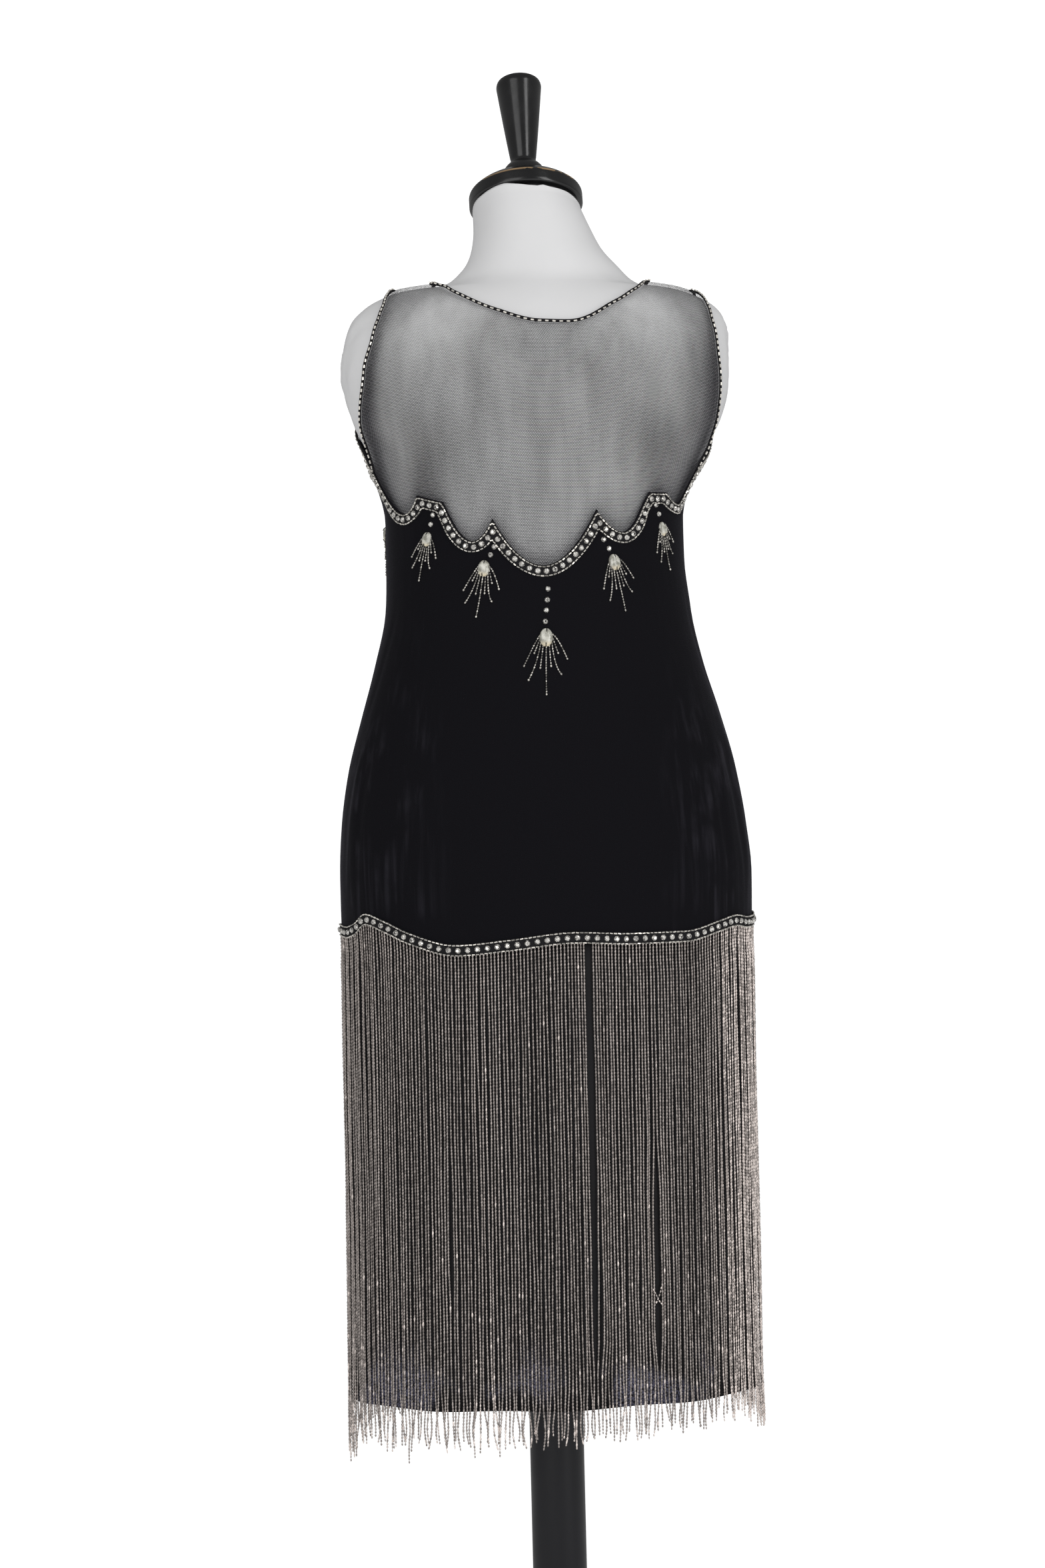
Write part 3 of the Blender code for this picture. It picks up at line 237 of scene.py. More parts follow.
# Turned profiles: radius and height, the cap and the knob above the cut neck.
CAP_PROFILE = (
    (0.0000, 0.0003), (0.0440, 0.0003), (0.0465, 0.0055), (0.0500, 0.0065),
    (0.0516, 0.0085), (0.0516, 0.0172), (0.0511, 0.0190), (0.0498, 0.0206),
    (0.0395, 0.0281), (0.0225, 0.0336), (0.0130, 0.0352), (0.0000, 0.0352),
)
FINIAL_PROFILE = (
    (0.0000, 0.0353), (0.0192, 0.0353), (0.0198, 0.0385), (0.0185, 0.0440),
    (0.0150, 0.0490), (0.0116, 0.0520), (0.0113, 0.0536), (0.0120, 0.0580),
    (0.0203, 0.1270), (0.0207, 0.1308), (0.0198, 0.1348), (0.0168, 0.1370),
    (0.0090, 0.1380), (0.0000, 0.1382),
)
BASE_PROFILE = (
    (0.0000, 0.0000), (0.1970, 0.0000), (0.2000, 0.0030), (0.2000, 0.0110),
    (0.1960, 0.0150), (0.1200, 0.0190), (0.0520, 0.0240), (0.0420, 0.0280),
    (0.0380, 0.0360), (0.0300, 0.0380), (0.0000, 0.0380),
)

# surface of the body and of the dress

TABLE = np.array(SECTIONS)
LAST_LEVEL = len(SECTIONS) - 1


def soft_curve(knots, values, places):
    """Smooth curve through the knots that doesn't overshoot them."""
    widths = np.diff(knots)
    rises = np.diff(values) / widths
    products = rises[:-1] * rises[1:]
    sums = rises[:-1] + rises[1:]
    inner = np.where(products > 0, 2 * products / np.where(sums == 0, 1, sums), 0)
    slopes = np.concatenate([rises[:1], inner, rises[-1:]])
    i = np.clip(np.searchsorted(knots, places) - 1, 0, len(widths) - 1)
    t = (places - knots[i]) / widths[i]
    start = (2 * t**3 - 3 * t**2 + 1) * values[i] + (t**3 - 2 * t**2 + t) * widths[i] * slopes[i]
    end = (3 * t**2 - 2 * t**3) * values[i + 1] + (t**3 - t**2) * widths[i] * slopes[i + 1]
    return start + end


def blend(level, name):
    """Value of one column at a level; levels count the sections from below."""
    values = TABLE[:, SECTION_COLUMNS.index(name)]
    return soft_curve(np.arange(LAST_LEVEL + 1.0), values, np.clip(level, 0, LAST_LEVEL))


def part_of(value, width):
    """Share of a width that a value fills, from 0 to 1."""
    return np.clip(value / width, 0, 1)


def turn_from(angle, place):
    """Angle away from a place, the short way round."""
    return (angle - place + 180.0) % 360.0 - 180.0


def unit(vectors):
    return vectors / np.linalg.norm(vectors, axis=-1, keepdims=True)


def run_along(points):
    """Distance run from the first point to each of the others."""
    steps = np.linalg.norm(np.diff(points, axis=0), axis=-1)
    return np.concatenate([[0.0], np.cumsum(steps)])


FINE_LEVELS = np.linspace(0, LAST_LEVEL, 4001)
FINE_HEIGHTS = blend(FINE_LEVELS, "height")


def level_at(height):
    return np.interp(height, FINE_HEIGHTS, FINE_LEVELS)


def skin(angle, level):
    """Points of the body at angles and levels."""
    turn = np.radians(np.asarray(angle, float))
    level = np.asarray(level, float)
    power = 2 / blend(level, "squareness")
    across = np.cos(turn)
    deep = np.sin(turn)
    x = np.sign(across) * np.abs(across) ** power * blend(level, "half_width")
    reach = np.where(deep < 0, -blend(level, "back"), blend(level, "front"))
    y = reach * np.abs(deep) ** power
    z = blend(level, "height") - blend(level, "lean") * y
    return np.stack([x + blend(level, "shift_x"), y + blend(level, "middle_y"), z + 0 * x], -1)


def outward(angle, level):
    """Unit vectors that stand out from the body."""
    turned = skin(angle + 0.4, level) - skin(angle - 0.4, level)
    above = skin(angle, np.minimum(level + 0.02, LAST_LEVEL))
    below = skin(angle, np.maximum(level - 0.02, 0))
    return unit(np.cross(turned, above - below))


def fold_ridge(angle, level):
    """Height of the soft upright folds."""
    height = blend(level, "height")
    total = np.zeros(np.broadcast(angle, level).shape)
    for place, top, bottom, half_width, ridge in FOLDS:
        side = np.clip(1 - ((angle - place) / half_width) ** 2, 0, 1) ** 2
        total = total + ridge * side * part_of(height - bottom, 0.05) * part_of(top - height, 0.09)
    return total


# The net lies close on the shoulders, from this row of the table up.
SHOULDER_LEVEL = 17
SHOULDER_EASE = 0.0021


def cloth(angle, level, out=0.0):
    """Points on the outside of the dress, moved out by a distance."""
    angle = np.asarray(angle, float)
    level = np.asarray(level, float)
    ease = blend(level, "ease")
    ease = np.where(level > SHOULDER_LEVEL, np.minimum(ease, SHOULDER_EASE), ease)
    distance = ease + fold_ridge(angle, level) + out
    return skin(angle, level) + outward(angle, level) * distance[..., None]


def cloth_steps(angle, level):
    """How a point of the cloth moves for one degree round and for one level up."""
    turned = cloth(angle + 0.5, level) - cloth(angle - 0.5, level)
    raised = (cloth(angle, level + 0.05) - cloth(angle, level - 0.05)) / 0.1
    return turned, raised


def beside(angles, levels, distance):
    """A closed line on the cloth moved sideways; positive is to the left of its way."""
    before = np.roll(angles, 1)
    after = np.roll(angles, -1)
    before[0] -= 360 * np.round((before[0] - angles[0]) / 360)
    after[-1] -= 360 * np.round((after[-1] - angles[-1]) / 360)
    way = cloth(after, np.roll(levels, -1)) - cloth(before, np.roll(levels, 1))
    side = unit(np.cross(outward(angles, levels), way)) * distance
    turned, raised = cloth_steps(angles, levels)
    turned_square = (turned * turned).sum(-1)
    raised_square = (raised * raised).sum(-1)
    mixed = (turned * raised).sum(-1)
    round_it = (side * turned).sum(-1)
    up_it = (side * raised).sum(-1)
    whole = turned_square * raised_square - mixed * mixed
    return (angles + (round_it * raised_square - up_it * mixed) / whole,
            levels + (up_it * turned_square - round_it * mixed) / whole)


def line_points(rows, count, crowding=1.0):
    """Angles and levels in steps along a table of angles and heights."""
    table = np.array(rows)
    angles = table[:, 0]
    levels = level_at(table[:, 1])
    along = run_along(cloth(angles, levels))
    steps = (1 - (1 - np.linspace(0.0, 1.0, count)) ** crowding) * along[-1]
    return np.stack([soft_curve(along, angles, steps), soft_curve(along, levels, steps)], -1)


def along_table(rows, angle):
    """Value of a table of angles and values at an angle."""
    return np.interp(angle % 360.0, *np.array(rows).T)


def hip_height(angle):
    rows = np.array(HIP_LINE)
    return soft_curve(rows[:, 0], rows[:, 1], np.mod(angle, 360.0))


def scallop_height(rows, angles):
    """Height of the scalloped edge at angles."""
    heights = []
    for angle in np.atleast_1d(angles):
        for row, following in zip(rows, rows[1:]):
            if angle <= following[0] + 1e-9:
                break
        t = (angle - row[0]) / (following[0] - row[0])
        t = min(max(t, 0.0), 1.0)
        if following[2] and not row[2]:
            share = t ** SCALLOP_BEND
        elif row[2] and not following[2]:
            share = 1 - (1 - t) ** SCALLOP_BEND
        else:
            share = t
        heights.append(row[1] + (following[1] - row[1]) * share)
    return np.array(heights)


def below_edge(rows, angles, width):
    """Height of a line that runs at a set distance below the scalloped edge."""
    fine = np.linspace(rows[0][0], rows[-1][0], 721)
    heights = scallop_height(rows, fine)
    along = run_along(cloth(fine, level_at(heights))[:, :2])
    result = []
    for place in np.interp(angles, fine, along):
        near = np.abs(along - place) < max(width, 0.0008)
        drop = np.sqrt(np.clip(width ** 2 - (along[near] - place) ** 2, 0.0, None))
        result.append((heights[near] - drop).min())
    return np.array(result)


# finer form of the cloth

# Fine creases of the velvet: angle at the foot, lean in degrees of angle for
# each metre up, bottom, top, half width in degrees and rise (below 0: a trough).
CREASES = (
    (193.0, 30.0, 0.845, 1.000, 1.6, 0.0009),
    (203.0, 22.0, 0.842, 0.985, 1.8, 0.0010),
    (214.0, 10.0, 0.850, 0.930, 1.5, 0.0007),
    (227.0, 6.0, 0.850, 0.940, 2.0, 0.0006),
    (318.0, -8.0, 0.846, 0.950, 1.8, 0.0007),
    (325.5, -16.0, 0.845, 0.965, 1.5, 0.0010),
    (337.0, -24.0, 0.842, 0.990, 1.7, 0.0011),
    (349.0, -28.0, 0.850, 1.010, 1.6, 0.0008),
    (11.0, 24.0, 0.848, 0.990, 1.7, 0.0009),
    (23.0, 15.0, 0.850, 0.960, 1.8, 0.0009),
    (157.0, -15.0, 0.850, 0.965, 1.7, 0.0009),
    (170.0, -22.0, 0.846, 0.990, 1.7, 0.0009),
    (191.0, 70.0, 1.000, 1.130, 2.2, -0.0006),
    (350.0, -70.0, 1.000, 1.140, 2.2, -0.0006),
)

# Soft folds of the jersey on the shoulder caps: angle, height, half length and
# half width in metres, turn from upright in degrees and rise.
CAP_FOLDS = (
    (186.0, 1.336, 0.030, 0.0050, 24.0, 0.0022),
    (193.0, 1.352, 0.026, 0.0042, 62.0, -0.0016),
    (183.0, 1.300, 0.030, 0.0050, -12.0, 0.0020),
    (196.0, 1.318, 0.024, 0.0038, 38.0, 0.0014),
    (178.0, 1.322, 0.018, 0.0040, 80.0, -0.0018),
    (353.0, 1.352, 0.026, 0.0046, -40.0, 0.0018),
    (347.0, 1.330, 0.030, 0.0044, -14.0, 0.0016),
    (359.0, 1.312, 0.028, 0.0050, 10.0, 0.0018),
    (1.0, 1.345, 0.020, 0.0040, -78.0, -0.0016),
    (8.0, 1.330, 0.026, 0.0046, 30.0, 0.0016),
    (172.0, 1.340, 0.026, 0.0046, -30.0, 0.0016),
)

# Painted shade and light on the net, by thicker thread (amount above 0) or thinner (below 0):
# angle, height, half length and half width in metres, turn from upright in degrees and amount.
NET_SHADES = (
    (226.5, 1.2315, 0.050, 0.019, 28.0, 0.38),
    (308.8, 1.2459, 0.050, 0.019, -36.0, 0.34),
    (324.0, 1.2950, 0.060, 0.017, -8.0, 0.34),
    (237.0, 1.3650, 0.034, 0.034, 0.0, -0.44),
    (303.0, 1.3718, 0.036, 0.036, 0.0, -0.42),
    (250.0, 1.2900, 0.060, 0.006, 8.0, 0.10),
    (284.0, 1.2850, 0.060, 0.006, -10.0, 0.10),
    (268.0, 1.2500, 0.070, 0.005, 2.0, 0.08),
    (52.0, 1.2400, 0.050, 0.019, 30.0, 0.36),
    (128.0, 1.2400, 0.050, 0.019, -30.0, 0.36),
)

# Top edge of the jersey under the cap: angle and rise above the cut of the neck.
LIP_ROWS = (
    (0.0, 0.0012), (20.0, 0.0010), (60.0, 0.0026), (90.0, 0.0014), (140.0, 0.0032),
    (165.0, 0.0042), (191.0, 0.0060), (210.0, 0.0052), (233.0, 0.0061), (242.0, 0.0060),
    (252.0, 0.0038), (266.0, 0.0014), (277.0, 0.0008), (282.0, 0.0022), (290.0, 0.0012),
    (312.0, 0.0018), (333.0, 0.0011), (360.0, 0.0012),
)

# Ends of the fringe: angle and height of the tips.
FRINGE_ENDS = (
    (0.0, 0.377), (15.0, 0.381), (40.0, 0.389), (90.0, 0.384), (140.0, 0.381),
    (165.0, 0.374), (180.0, 0.360), (191.0, 0.359), (196.0, 0.375), (206.0, 0.381),
    (212.0, 0.377), (262.0, 0.380), (275.0, 0.383), (300.0, 0.386), (316.0, 0.391),
    (330.0, 0.391), (342.0, 0.379), (360.0, 0.377),
)

# Places where the fringe parts and shows the black skirt: angle at the top and
# at the foot, top, bottom and half width in metres.
PARTINGS = (
    (276.9, 279.0, 0.850, 0.436, 0.0026),
    (295.3, 295.4, 0.640, 0.440, 0.0024),
    (290.4, 290.2, 0.560, 0.480, 0.0009),
    (262.0, 262.6, 0.700, 0.520, 0.0007),
    (236.5, 236.0, 0.640, 0.500, 0.0008),
    (72.0, 72.5, 0.850, 0.430, 0.0020),
    (108.0, 107.0, 0.660, 0.440, 0.0014),
)

# Two short ends of thread that cross in the second parting: angle and height.
TANGLE = (
    ((294.2, 0.5085), (295.0, 0.5040), (295.9, 0.4985), (296.6, 0.4960)),
    ((294.4, 0.4950), (295.3, 0.4990), (296.2, 0.5050), (296.9, 0.5130)),
)

# Rhinestones above the sprays: side, angle and height.
DROP_STONES = (
    ("back", 269.5, 1.1211), ("back", 269.0, 1.1115), ("back", 268.5, 1.1024), ("back", 268.1, 1.0925),
    ("back", 250.0, 1.1592), ("back", 248.5, 1.1524), ("back", 223.8, 1.1899), ("back", 222.5, 1.1818),
    ("back", 292.4, 1.1640), ("back", 294.6, 1.1562), ("back", 318.8, 1.1960), ("back", 321.0, 1.1878),
    ("front", 90.0, 1.1440), ("front", 90.0, 1.1345), ("front", 90.0, 1.1250), ("front", 90.0, 1.1155),
    ("front", 57.0, 1.1750), ("front", 54.6, 1.1680), ("front", 123.0, 1.1750), ("front", 125.4, 1.1680),
    ("front", 17.0, 1.2040), ("front", 14.6, 1.1955), ("front", 163.0, 1.2040), ("front", 166.0, 1.1955),
)

# Camera, read off the outline of the form and of the pole: height of the photo in
# pixels, length of a pixel at the pole's axis and shift of the camera to the left.
PHOTO_HEIGHT = 2352
METRES_PER_PIXEL = 0.0006
CAMERA_SHIFT = 0.01656
SENSOR = 36.0

NECK_CUT = dict(zip(SECTION_COLUMNS, SECTIONS[-1]))
HEAD_PLACE = Vector((NECK_CUT["shift_x"], NECK_CUT["middle_y"], NECK_CUT["height"]))
HEAD_LEAN = math.atan(NECK_CUT["lean"])


# settings a user would change

class FlapperClothSettings(bpy.types.PropertyGroup):
    velvet_colour: FloatVectorProperty(
        name="Velvet", description="Colour of the velvet pile",
        default=(0.0020, 0.0017, 0.0036), subtype="COLOR", min=0.0, max=1.0)
    velvet_wall: FloatProperty(
        name="Velvet thickness", description="Thickness of the velvet with its pile",
        default=0.0016, unit="LENGTH", min=0.0005, max=0.004)
    skirt_colour: FloatVectorProperty(
        name="Underskirt", description="Colour of the crepe underskirt",
        default=(0.0055, 0.0050, 0.0062), subtype="COLOR", min=0.0, max=1.0)
    skirt_wall: FloatProperty(
        name="Underskirt thickness", description="Thickness of the underskirt",
        default=0.0008, unit="LENGTH", min=0.0004, max=0.003)
    net_colour: FloatVectorProperty(
        name="Net", description="Colour of the net's thread",
        default=(0.012, 0.011, 0.015), subtype="COLOR", min=0.0, max=1.0)
    net_cell: FloatProperty(
        name="Net cell", description="Distance from one hole of the net to the next",
        default=0.0015, unit="LENGTH", min=0.0005, max=0.01)
    net_thread: FloatProperty(
        name="Net thread", description="Share of a cell's half width that thread covers",
        default=0.205, subtype="FACTOR", min=0.05, max=0.9)
    jersey_colour: FloatVectorProperty(
        name="Jersey", description="Colour of the dress form's jersey cover",
        default=(0.755, 0.755, 0.76), subtype="COLOR", min=0.0, max=1.0)
    binding_width: FloatProperty(
        name="Binding width", description="Width of the black binding of the openings",
        default=0.0034, unit="LENGTH", min=0.001, max=0.01)


class FlapperBeadSettings(bpy.types.PropertyGroup):
    strands: IntProperty(
        name="Strands a side", description="Number of strands of the fringe on the back and on the front",
        default=152, min=10, max=400)
    bead_pitch: FloatProperty(
        name="Bead pitch", description="Distance from bead to bead on a strand",
        default=0.00285, unit="LENGTH", min=0.001, max=0.02)
    bead_width: FloatProperty(
        name="Bead width", description="Width of a bead on a strand",
        default=0.0021, unit="LENGTH", min=0.0005, max=0.01)
    bugle_length: FloatProperty(
        name="Bugle length", description="Length of the tube beads along the bands",
        default=0.0029, unit="LENGTH", min=0.001, max=0.02)
    bugle_width: FloatProperty(
        name="Bugle width", description="Width of the tube beads",
        default=0.0013, unit="LENGTH", min=0.0005, max=0.01)
    scallop_pitch: FloatProperty(
        name="Scallop stone pitch", description="Distance between rhinestones along the scallops",
        default=0.0076, unit="LENGTH", min=0.004, max=0.03)
    hip_pitch: FloatProperty(
        name="Hip stone pitch", description="Distance between rhinestones on the hips",
        default=0.0088, unit="LENGTH", min=0.004, max=0.03)
    stone_width: FloatProperty(
        name="Rhinestone width", description="Diameter of a rhinestone",
        default=0.0051, unit="LENGTH", min=0.002, max=0.02)
    binding_pitch: FloatProperty(
        name="Binding bead pitch", description="Distance between the tube beads on the bindings",
        default=0.0064, unit="LENGTH", min=0.003, max=0.03)
    bead_colour: FloatVectorProperty(
        name="Fringe beads", description="Colour of the pewter fringe beads",
        default=(0.50, 0.445, 0.415), subtype="COLOR", min=0.0, max=1.0)
    silver_colour: FloatVectorProperty(
        name="Silver beads", description="Colour of the silver tube beads",
        default=(0.72, 0.69, 0.63), subtype="COLOR", min=0.0, max=1.0)
    seed: IntProperty(
        name="Seed", description="Seed of everything that is uneven in the beading",
        default=11, min=0)


class FlapperStandSettings(bpy.types.PropertyGroup):
    lacquer_colour: FloatVectorProperty(
        name="Lacquer", description="Colour of the lacquered wood",
        default=(0.006, 0.006, 0.0065), subtype="COLOR", min=0.0, max=1.0)
    wear_colour: FloatVectorProperty(
        name="Wear", description="Colour of the worn edge of the cap",
        default=(0.34, 0.22, 0.11), subtype="COLOR", min=0.0, max=1.0)
    pole_radius: FloatProperty(
        name="Pole radius", description="Radius of the pole",
        default=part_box("stand_pole")[1].x, unit="LENGTH", min=0.005, max=0.1)


class FlapperStageSettings(bpy.types.PropertyGroup):
    distance: FloatProperty(
        name="Camera distance", description="Distance from the camera to the pole's axis",
        default=3.2, unit="LENGTH", min=0.5, max=20.0)
    turn: FloatProperty(
        name="Camera turn", description="Turn of the camera from straight behind the dress",
        default=math.radians(-5.5), subtype="ANGLE")
    roll: FloatProperty(
        name="Camera roll", description="Roll of the camera",
        default=math.radians(1.40), subtype="ANGLE")
    height: FloatProperty(
        name="Camera height", description="Height of the camera",
        default=0.9518, unit="LENGTH", min=0.0, max=5.0)
    backdrop: FloatVectorProperty(
        name="Backdrop", description="Colour of the floor and of the studio",
        default=(0.90, 0.90, 0.90), subtype="COLOR", min=0.0, max=1.0)


def settings():
    scene = bpy.context.scene
    return scene.flapper_cloth, scene.flapper_beads, scene.flapper_stand, scene.flapper_stage


class Builds:
    """What the operators share: each runs its builders one after another."""
    builders = ()

    def execute(self, context):
        for builder in self.builders:
            builder()
        return {"FINISHED"}


# meshes

def finished(obj, material, slot, *nodes):
    """Link a piece, give it its material, attach it to the root and hide the nodes it stands for; its slot is
    not used.
    """
    bpy.context.scene.collection.objects.link(obj)
    if material is not None:
        obj.data.materials.clear()
        obj.data.materials.append(material)
    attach(obj, "root")
    if nodes:
        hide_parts(*nodes)
    return obj


def mesh_object(name, vertices, faces, edges=(), smooth=True):
    mesh = bpy.data.meshes.new(name)
    mesh.from_pydata(np.asarray(vertices, float).tolist(), list(edges), faces)
    if smooth:
        mesh.shade_smooth()
    return bpy.data.objects.new(name, mesh)


def grid_faces(rows, columns, closed=False):
    """Faces of a grid whose columns go round to the left seen from outside."""
    faces = []
    for row in range(rows - 1):
        for column in range(columns if closed else columns - 1):
            a = row * columns + column
            b = row * columns + (column + 1) % columns
            faces.append((a, b, b + columns, a + columns))
    return faces


def give_uv(obj, across, along):
    """UV map of the cloth in metres, so that a pattern keeps its size on it."""
    layer = obj.data.uv_layers.new(name="cloth")
    vertex = np.zeros(len(obj.data.loops), int)
    obj.data.loops.foreach_get("vertex_index", vertex)
    places = np.stack([across.ravel()[vertex], along.ravel()[vertex]], -1)
    layer.data.foreach_set("uv", places.astype(np.float32).ravel())


def give_attribute(obj, name, kind, values):
    attribute = obj.data.attributes.new(name, kind, "POINT")
    key = "vector" if kind == "FLOAT_VECTOR" else "value"
    attribute.data.foreach_set(key, np.asarray(values, np.float32).ravel())


def sheet_object(name, grid, wall):
    """Cloth through a grid of points, with its thickness turned inwards."""
    rows, columns = grid.shape[:2]
    obj = mesh_object(name, grid.reshape(-1, 3), grid_faces(rows, columns))
    steps_across = np.linalg.norm(np.diff(grid, axis=1), axis=-1)
    steps_along = np.linalg.norm(np.diff(grid, axis=0), axis=-1)
    across = np.concatenate([np.zeros((rows, 1)), np.cumsum(steps_across, axis=1)], axis=1)
    along = np.concatenate([np.zeros((1, columns)), np.cumsum(steps_along, axis=0)], axis=0)
    give_uv(obj, across, along)
    if wall:
        solid = obj.modifiers.new("thickness", "SOLIDIFY")
        solid.thickness = wall
        solid.offset = -1.0
    level_width = np.linalg.norm(np.diff(grid[..., :2], axis=1), axis=-1).sum(axis=1).max()
    return obj, level_width, along[-1].max()


# node trees

SHARED = {}


def shared(builder, *given):
    """What a builder makes from the given values, made once."""
    key = (builder.__name__, *given)
    if key not in SHARED:
        SHARED[key] = builder(*given)
    return SHARED[key]


def add_node(tree, kind, inputs=None, **values):
    """Add a node; inputs take values or other nodes' output sockets."""
    made = tree.nodes.new(kind)
    for name, value in values.items():
        setattr(made, name, value)
    for key, value in (inputs or {}).items():
        if isinstance(value, bpy.types.NodeSocket):
            tree.links.new(value, made.inputs[key])
        else:
            made.inputs[key].default_value = value
    return made


def feed(node, **sockets):
    """Join outputs to a node's inputs; a name takes _ for a space."""
    for key, socket in sockets.items():
        node.id_data.links.new(socket, node.inputs[key.replace("_", " ")])


def maths(tree, operation, first, second=0.0, third=0.0):
    """Output socket of one Math node."""
    made = add_node(tree, "ShaderNodeMath", {0: first, 1: second, 2: third}, operation=operation)
    return made.outputs[0]


def vectors(tree, operation, first, second=(0.0, 0.0, 0.0)):
    """Vector output of one Vector Math node."""
    made = add_node(tree, "ShaderNodeVectorMath", {0: first, 1: second}, operation=operation)
    return made.outputs[0]


def scalar(tree, operation, first, second=(0.0, 0.0, 0.0)):
    """Plain number that one Vector Math node gives."""
    made = add_node(tree, "ShaderNodeVectorMath", {0: first, 1: second}, operation=operation)
    return made.outputs["Value"]


def ramp(tree, value, low, high, start=0.0, end=1.0):
    """Map a value softly from one range to another, within its ends."""
    made = add_node(tree, "ShaderNodeMapRange",
                    {"Value": value, "From Min": low, "From Max": high, "To Min": start, "To Max": end},
                    interpolation_type="SMOOTHSTEP")
    return made.outputs["Result"]


def mix_colour(tree, share, first, second):
    """Colour between two; these sockets of the node can only be told by number."""
    return add_node(tree, "ShaderNodeMix", {0: share, 6: first, 7: second}, data_type="RGBA").outputs[2]


def noise(tree, place, scale, detail):
    made = add_node(tree, "ShaderNodeTexNoise", {"Vector": place, "Scale": scale, "Detail": detail})
    return made.outputs[0]


def position(tree, kind="Object"):
    return add_node(tree, "ShaderNodeTexCoord").outputs[kind]


def carried(tree, name):
    """Value that the mesh carries under a name."""
    return add_node(tree, "ShaderNodeAttribute", attribute_name=name).outputs["Fac"]


def rgba(colour, factor=1.0):
    return (*[min(max(channel * factor, 0.0), 1.0) for channel in colour], 1.0)


def new_material(name, **values):
    """Material with a Principled BSDF, its plain values set on the sockets."""
    material = bpy.data.materials.new(name)
    material.use_nodes = True
    tree = material.node_tree
    shader = tree.nodes["Principled BSDF"]
    for key, value in values.items():
        shader.inputs[key.replace("_", " ")].default_value = value
    return material, tree, shader


def new_group(name, inputs, outputs):
    """Shader node group with named sockets; gives the tree, its input and output nodes."""
    tree = bpy.data.node_groups.new(name, "ShaderNodeTree")
    for label, kind, default in inputs:
        socket = tree.interface.new_socket(label, in_out="INPUT", socket_type=kind)
        if default is not None:
            socket.default_value = default
    for label, kind in outputs:
        tree.interface.new_socket(label, in_out="OUTPUT", socket_type=kind)
    return tree, tree.nodes.new("NodeGroupInput"), tree.nodes.new("NodeGroupOutput")


def streak_group():
    """Soft upright streaks and blotches, as the nap of pile and worn cloth have; the velvet uses them to
    place its painted sheen.
    """
    tree, given, result = new_group(
        "Soft streaks",
        [("Across", "NodeSocketFloat", 60.0), ("Along", "NodeSocketFloat", 4.0)],
        [("Streak", "NodeSocketFloat"), ("Blotch", "NodeSocketFloat")])
    place = position(tree)
    across = given.outputs["Across"]
    scale = add_node(tree, "ShaderNodeCombineXYZ", {0: across, 1: across, 2: given.outputs["Along"]})
    drawn = vectors(tree, "MULTIPLY", place, scale.outputs[0])
    feed(result, Streak=noise(tree, drawn, 1.0, 4.0), Blotch=noise(tree, place, 22.0, 3.0))
    return tree


def weave_group():
    """Height of a fine weave on the cloth's own map, one thread over and under the next."""
    tree, given, result = new_group(
        "Fine weave",
        [("Thread", "NodeSocketFloat", 0.0005)],
        [("Height", "NodeSocketFloat")])
    parts = add_node(tree, "ShaderNodeSeparateXYZ", {0: position(tree, "UV")})
    turn = maths(tree, "DIVIDE", math.pi, given.outputs["Thread"])
    warp = maths(tree, "SINE", maths(tree, "MULTIPLY", parts.outputs[0], turn))
    weft = maths(tree, "SINE", maths(tree, "MULTIPLY", parts.outputs[1], turn))
    feed(result, Height=maths(tree, "MULTIPLY_ADD", maths(tree, "MULTIPLY", warp, weft), 0.5, 0.5))
    return tree


def net_group():
    """Coverage of a net with six-sided holes on the cloth's own map."""
    tree, given, result = new_group(
        "Six-sided net",
        [("Cell", "NodeSocketFloat", 0.0015), ("Thread", "NodeSocketFloat", 0.26)],
        [("Cover", "NodeSocketFloat")])
    size = given.outputs["Cell"]
    cell = add_node(tree, "ShaderNodeCombineXYZ", {0: size, 1: size, 2: 1.0})
    scaled = vectors(tree, "DIVIDE", position(tree, "UV"), cell.outputs[0])
    root = math.sqrt(3.0)
    half = (0.5, root / 2, 0.5)
    middles = []
    for offset in ((0.0, 0.0, 0.0), half):
        moved = vectors(tree, "ADD", scaled, (1000.0, 1000.0 * root, 0.0))
        moved = vectors(tree, "SUBTRACT", moved, offset)
        folded = vectors(tree, "MODULO", moved, (1.0, root, 1.0))
        centred = vectors(tree, "SUBTRACT", folded, half)
        flat = vectors(tree, "MULTIPLY", centred, (1.0, 1.0, 0.0))
        middles.append(vectors(tree, "ABSOLUTE", flat))
    lengths = [scalar(tree, "LENGTH", middle) for middle in middles]
    nearer = maths(tree, "LESS_THAN", *lengths)
    chosen = add_node(tree, "ShaderNodeMix", {0: nearer, 4: middles[1], 5: middles[0]}, data_type="VECTOR")
    best = chosen.outputs[1]
    slanted = scalar(tree, "DOT_PRODUCT", best, (0.5, root / 2, 0.0))
    across = add_node(tree, "ShaderNodeSeparateXYZ", {0: best}).outputs[0]
    edge = maths(tree, "SUBTRACT", 0.5, maths(tree, "MULTIPLY", given.outputs["Thread"], 0.5))
    feed(result, Cover=maths(tree, "GREATER_THAN", maths(tree, "MAXIMUM", across, slanted), edge))
    return tree


def bump(tree, shader, height, strength, distance):
    made = add_node(tree, "ShaderNodeBump", {"Height": height, "Strength": strength, "Distance": distance})
    feed(shader, Normal=made.outputs[0])


def place_group(tree, builder, **values):
    """Shared node group of a builder, its plain values set."""
    made = tree.nodes.new("ShaderNodeGroup")
    made.node_tree = shared(builder)
    for key, value in values.items():
        made.inputs[key].default_value = value
    return made


def streaks(tree, across, along):
    """Streak and blotch for a number of streaks a metre across and along."""
    made = place_group(tree, streak_group, Across=across, Along=along)
    return made.outputs["Streak"], made.outputs["Blotch"]


# materials

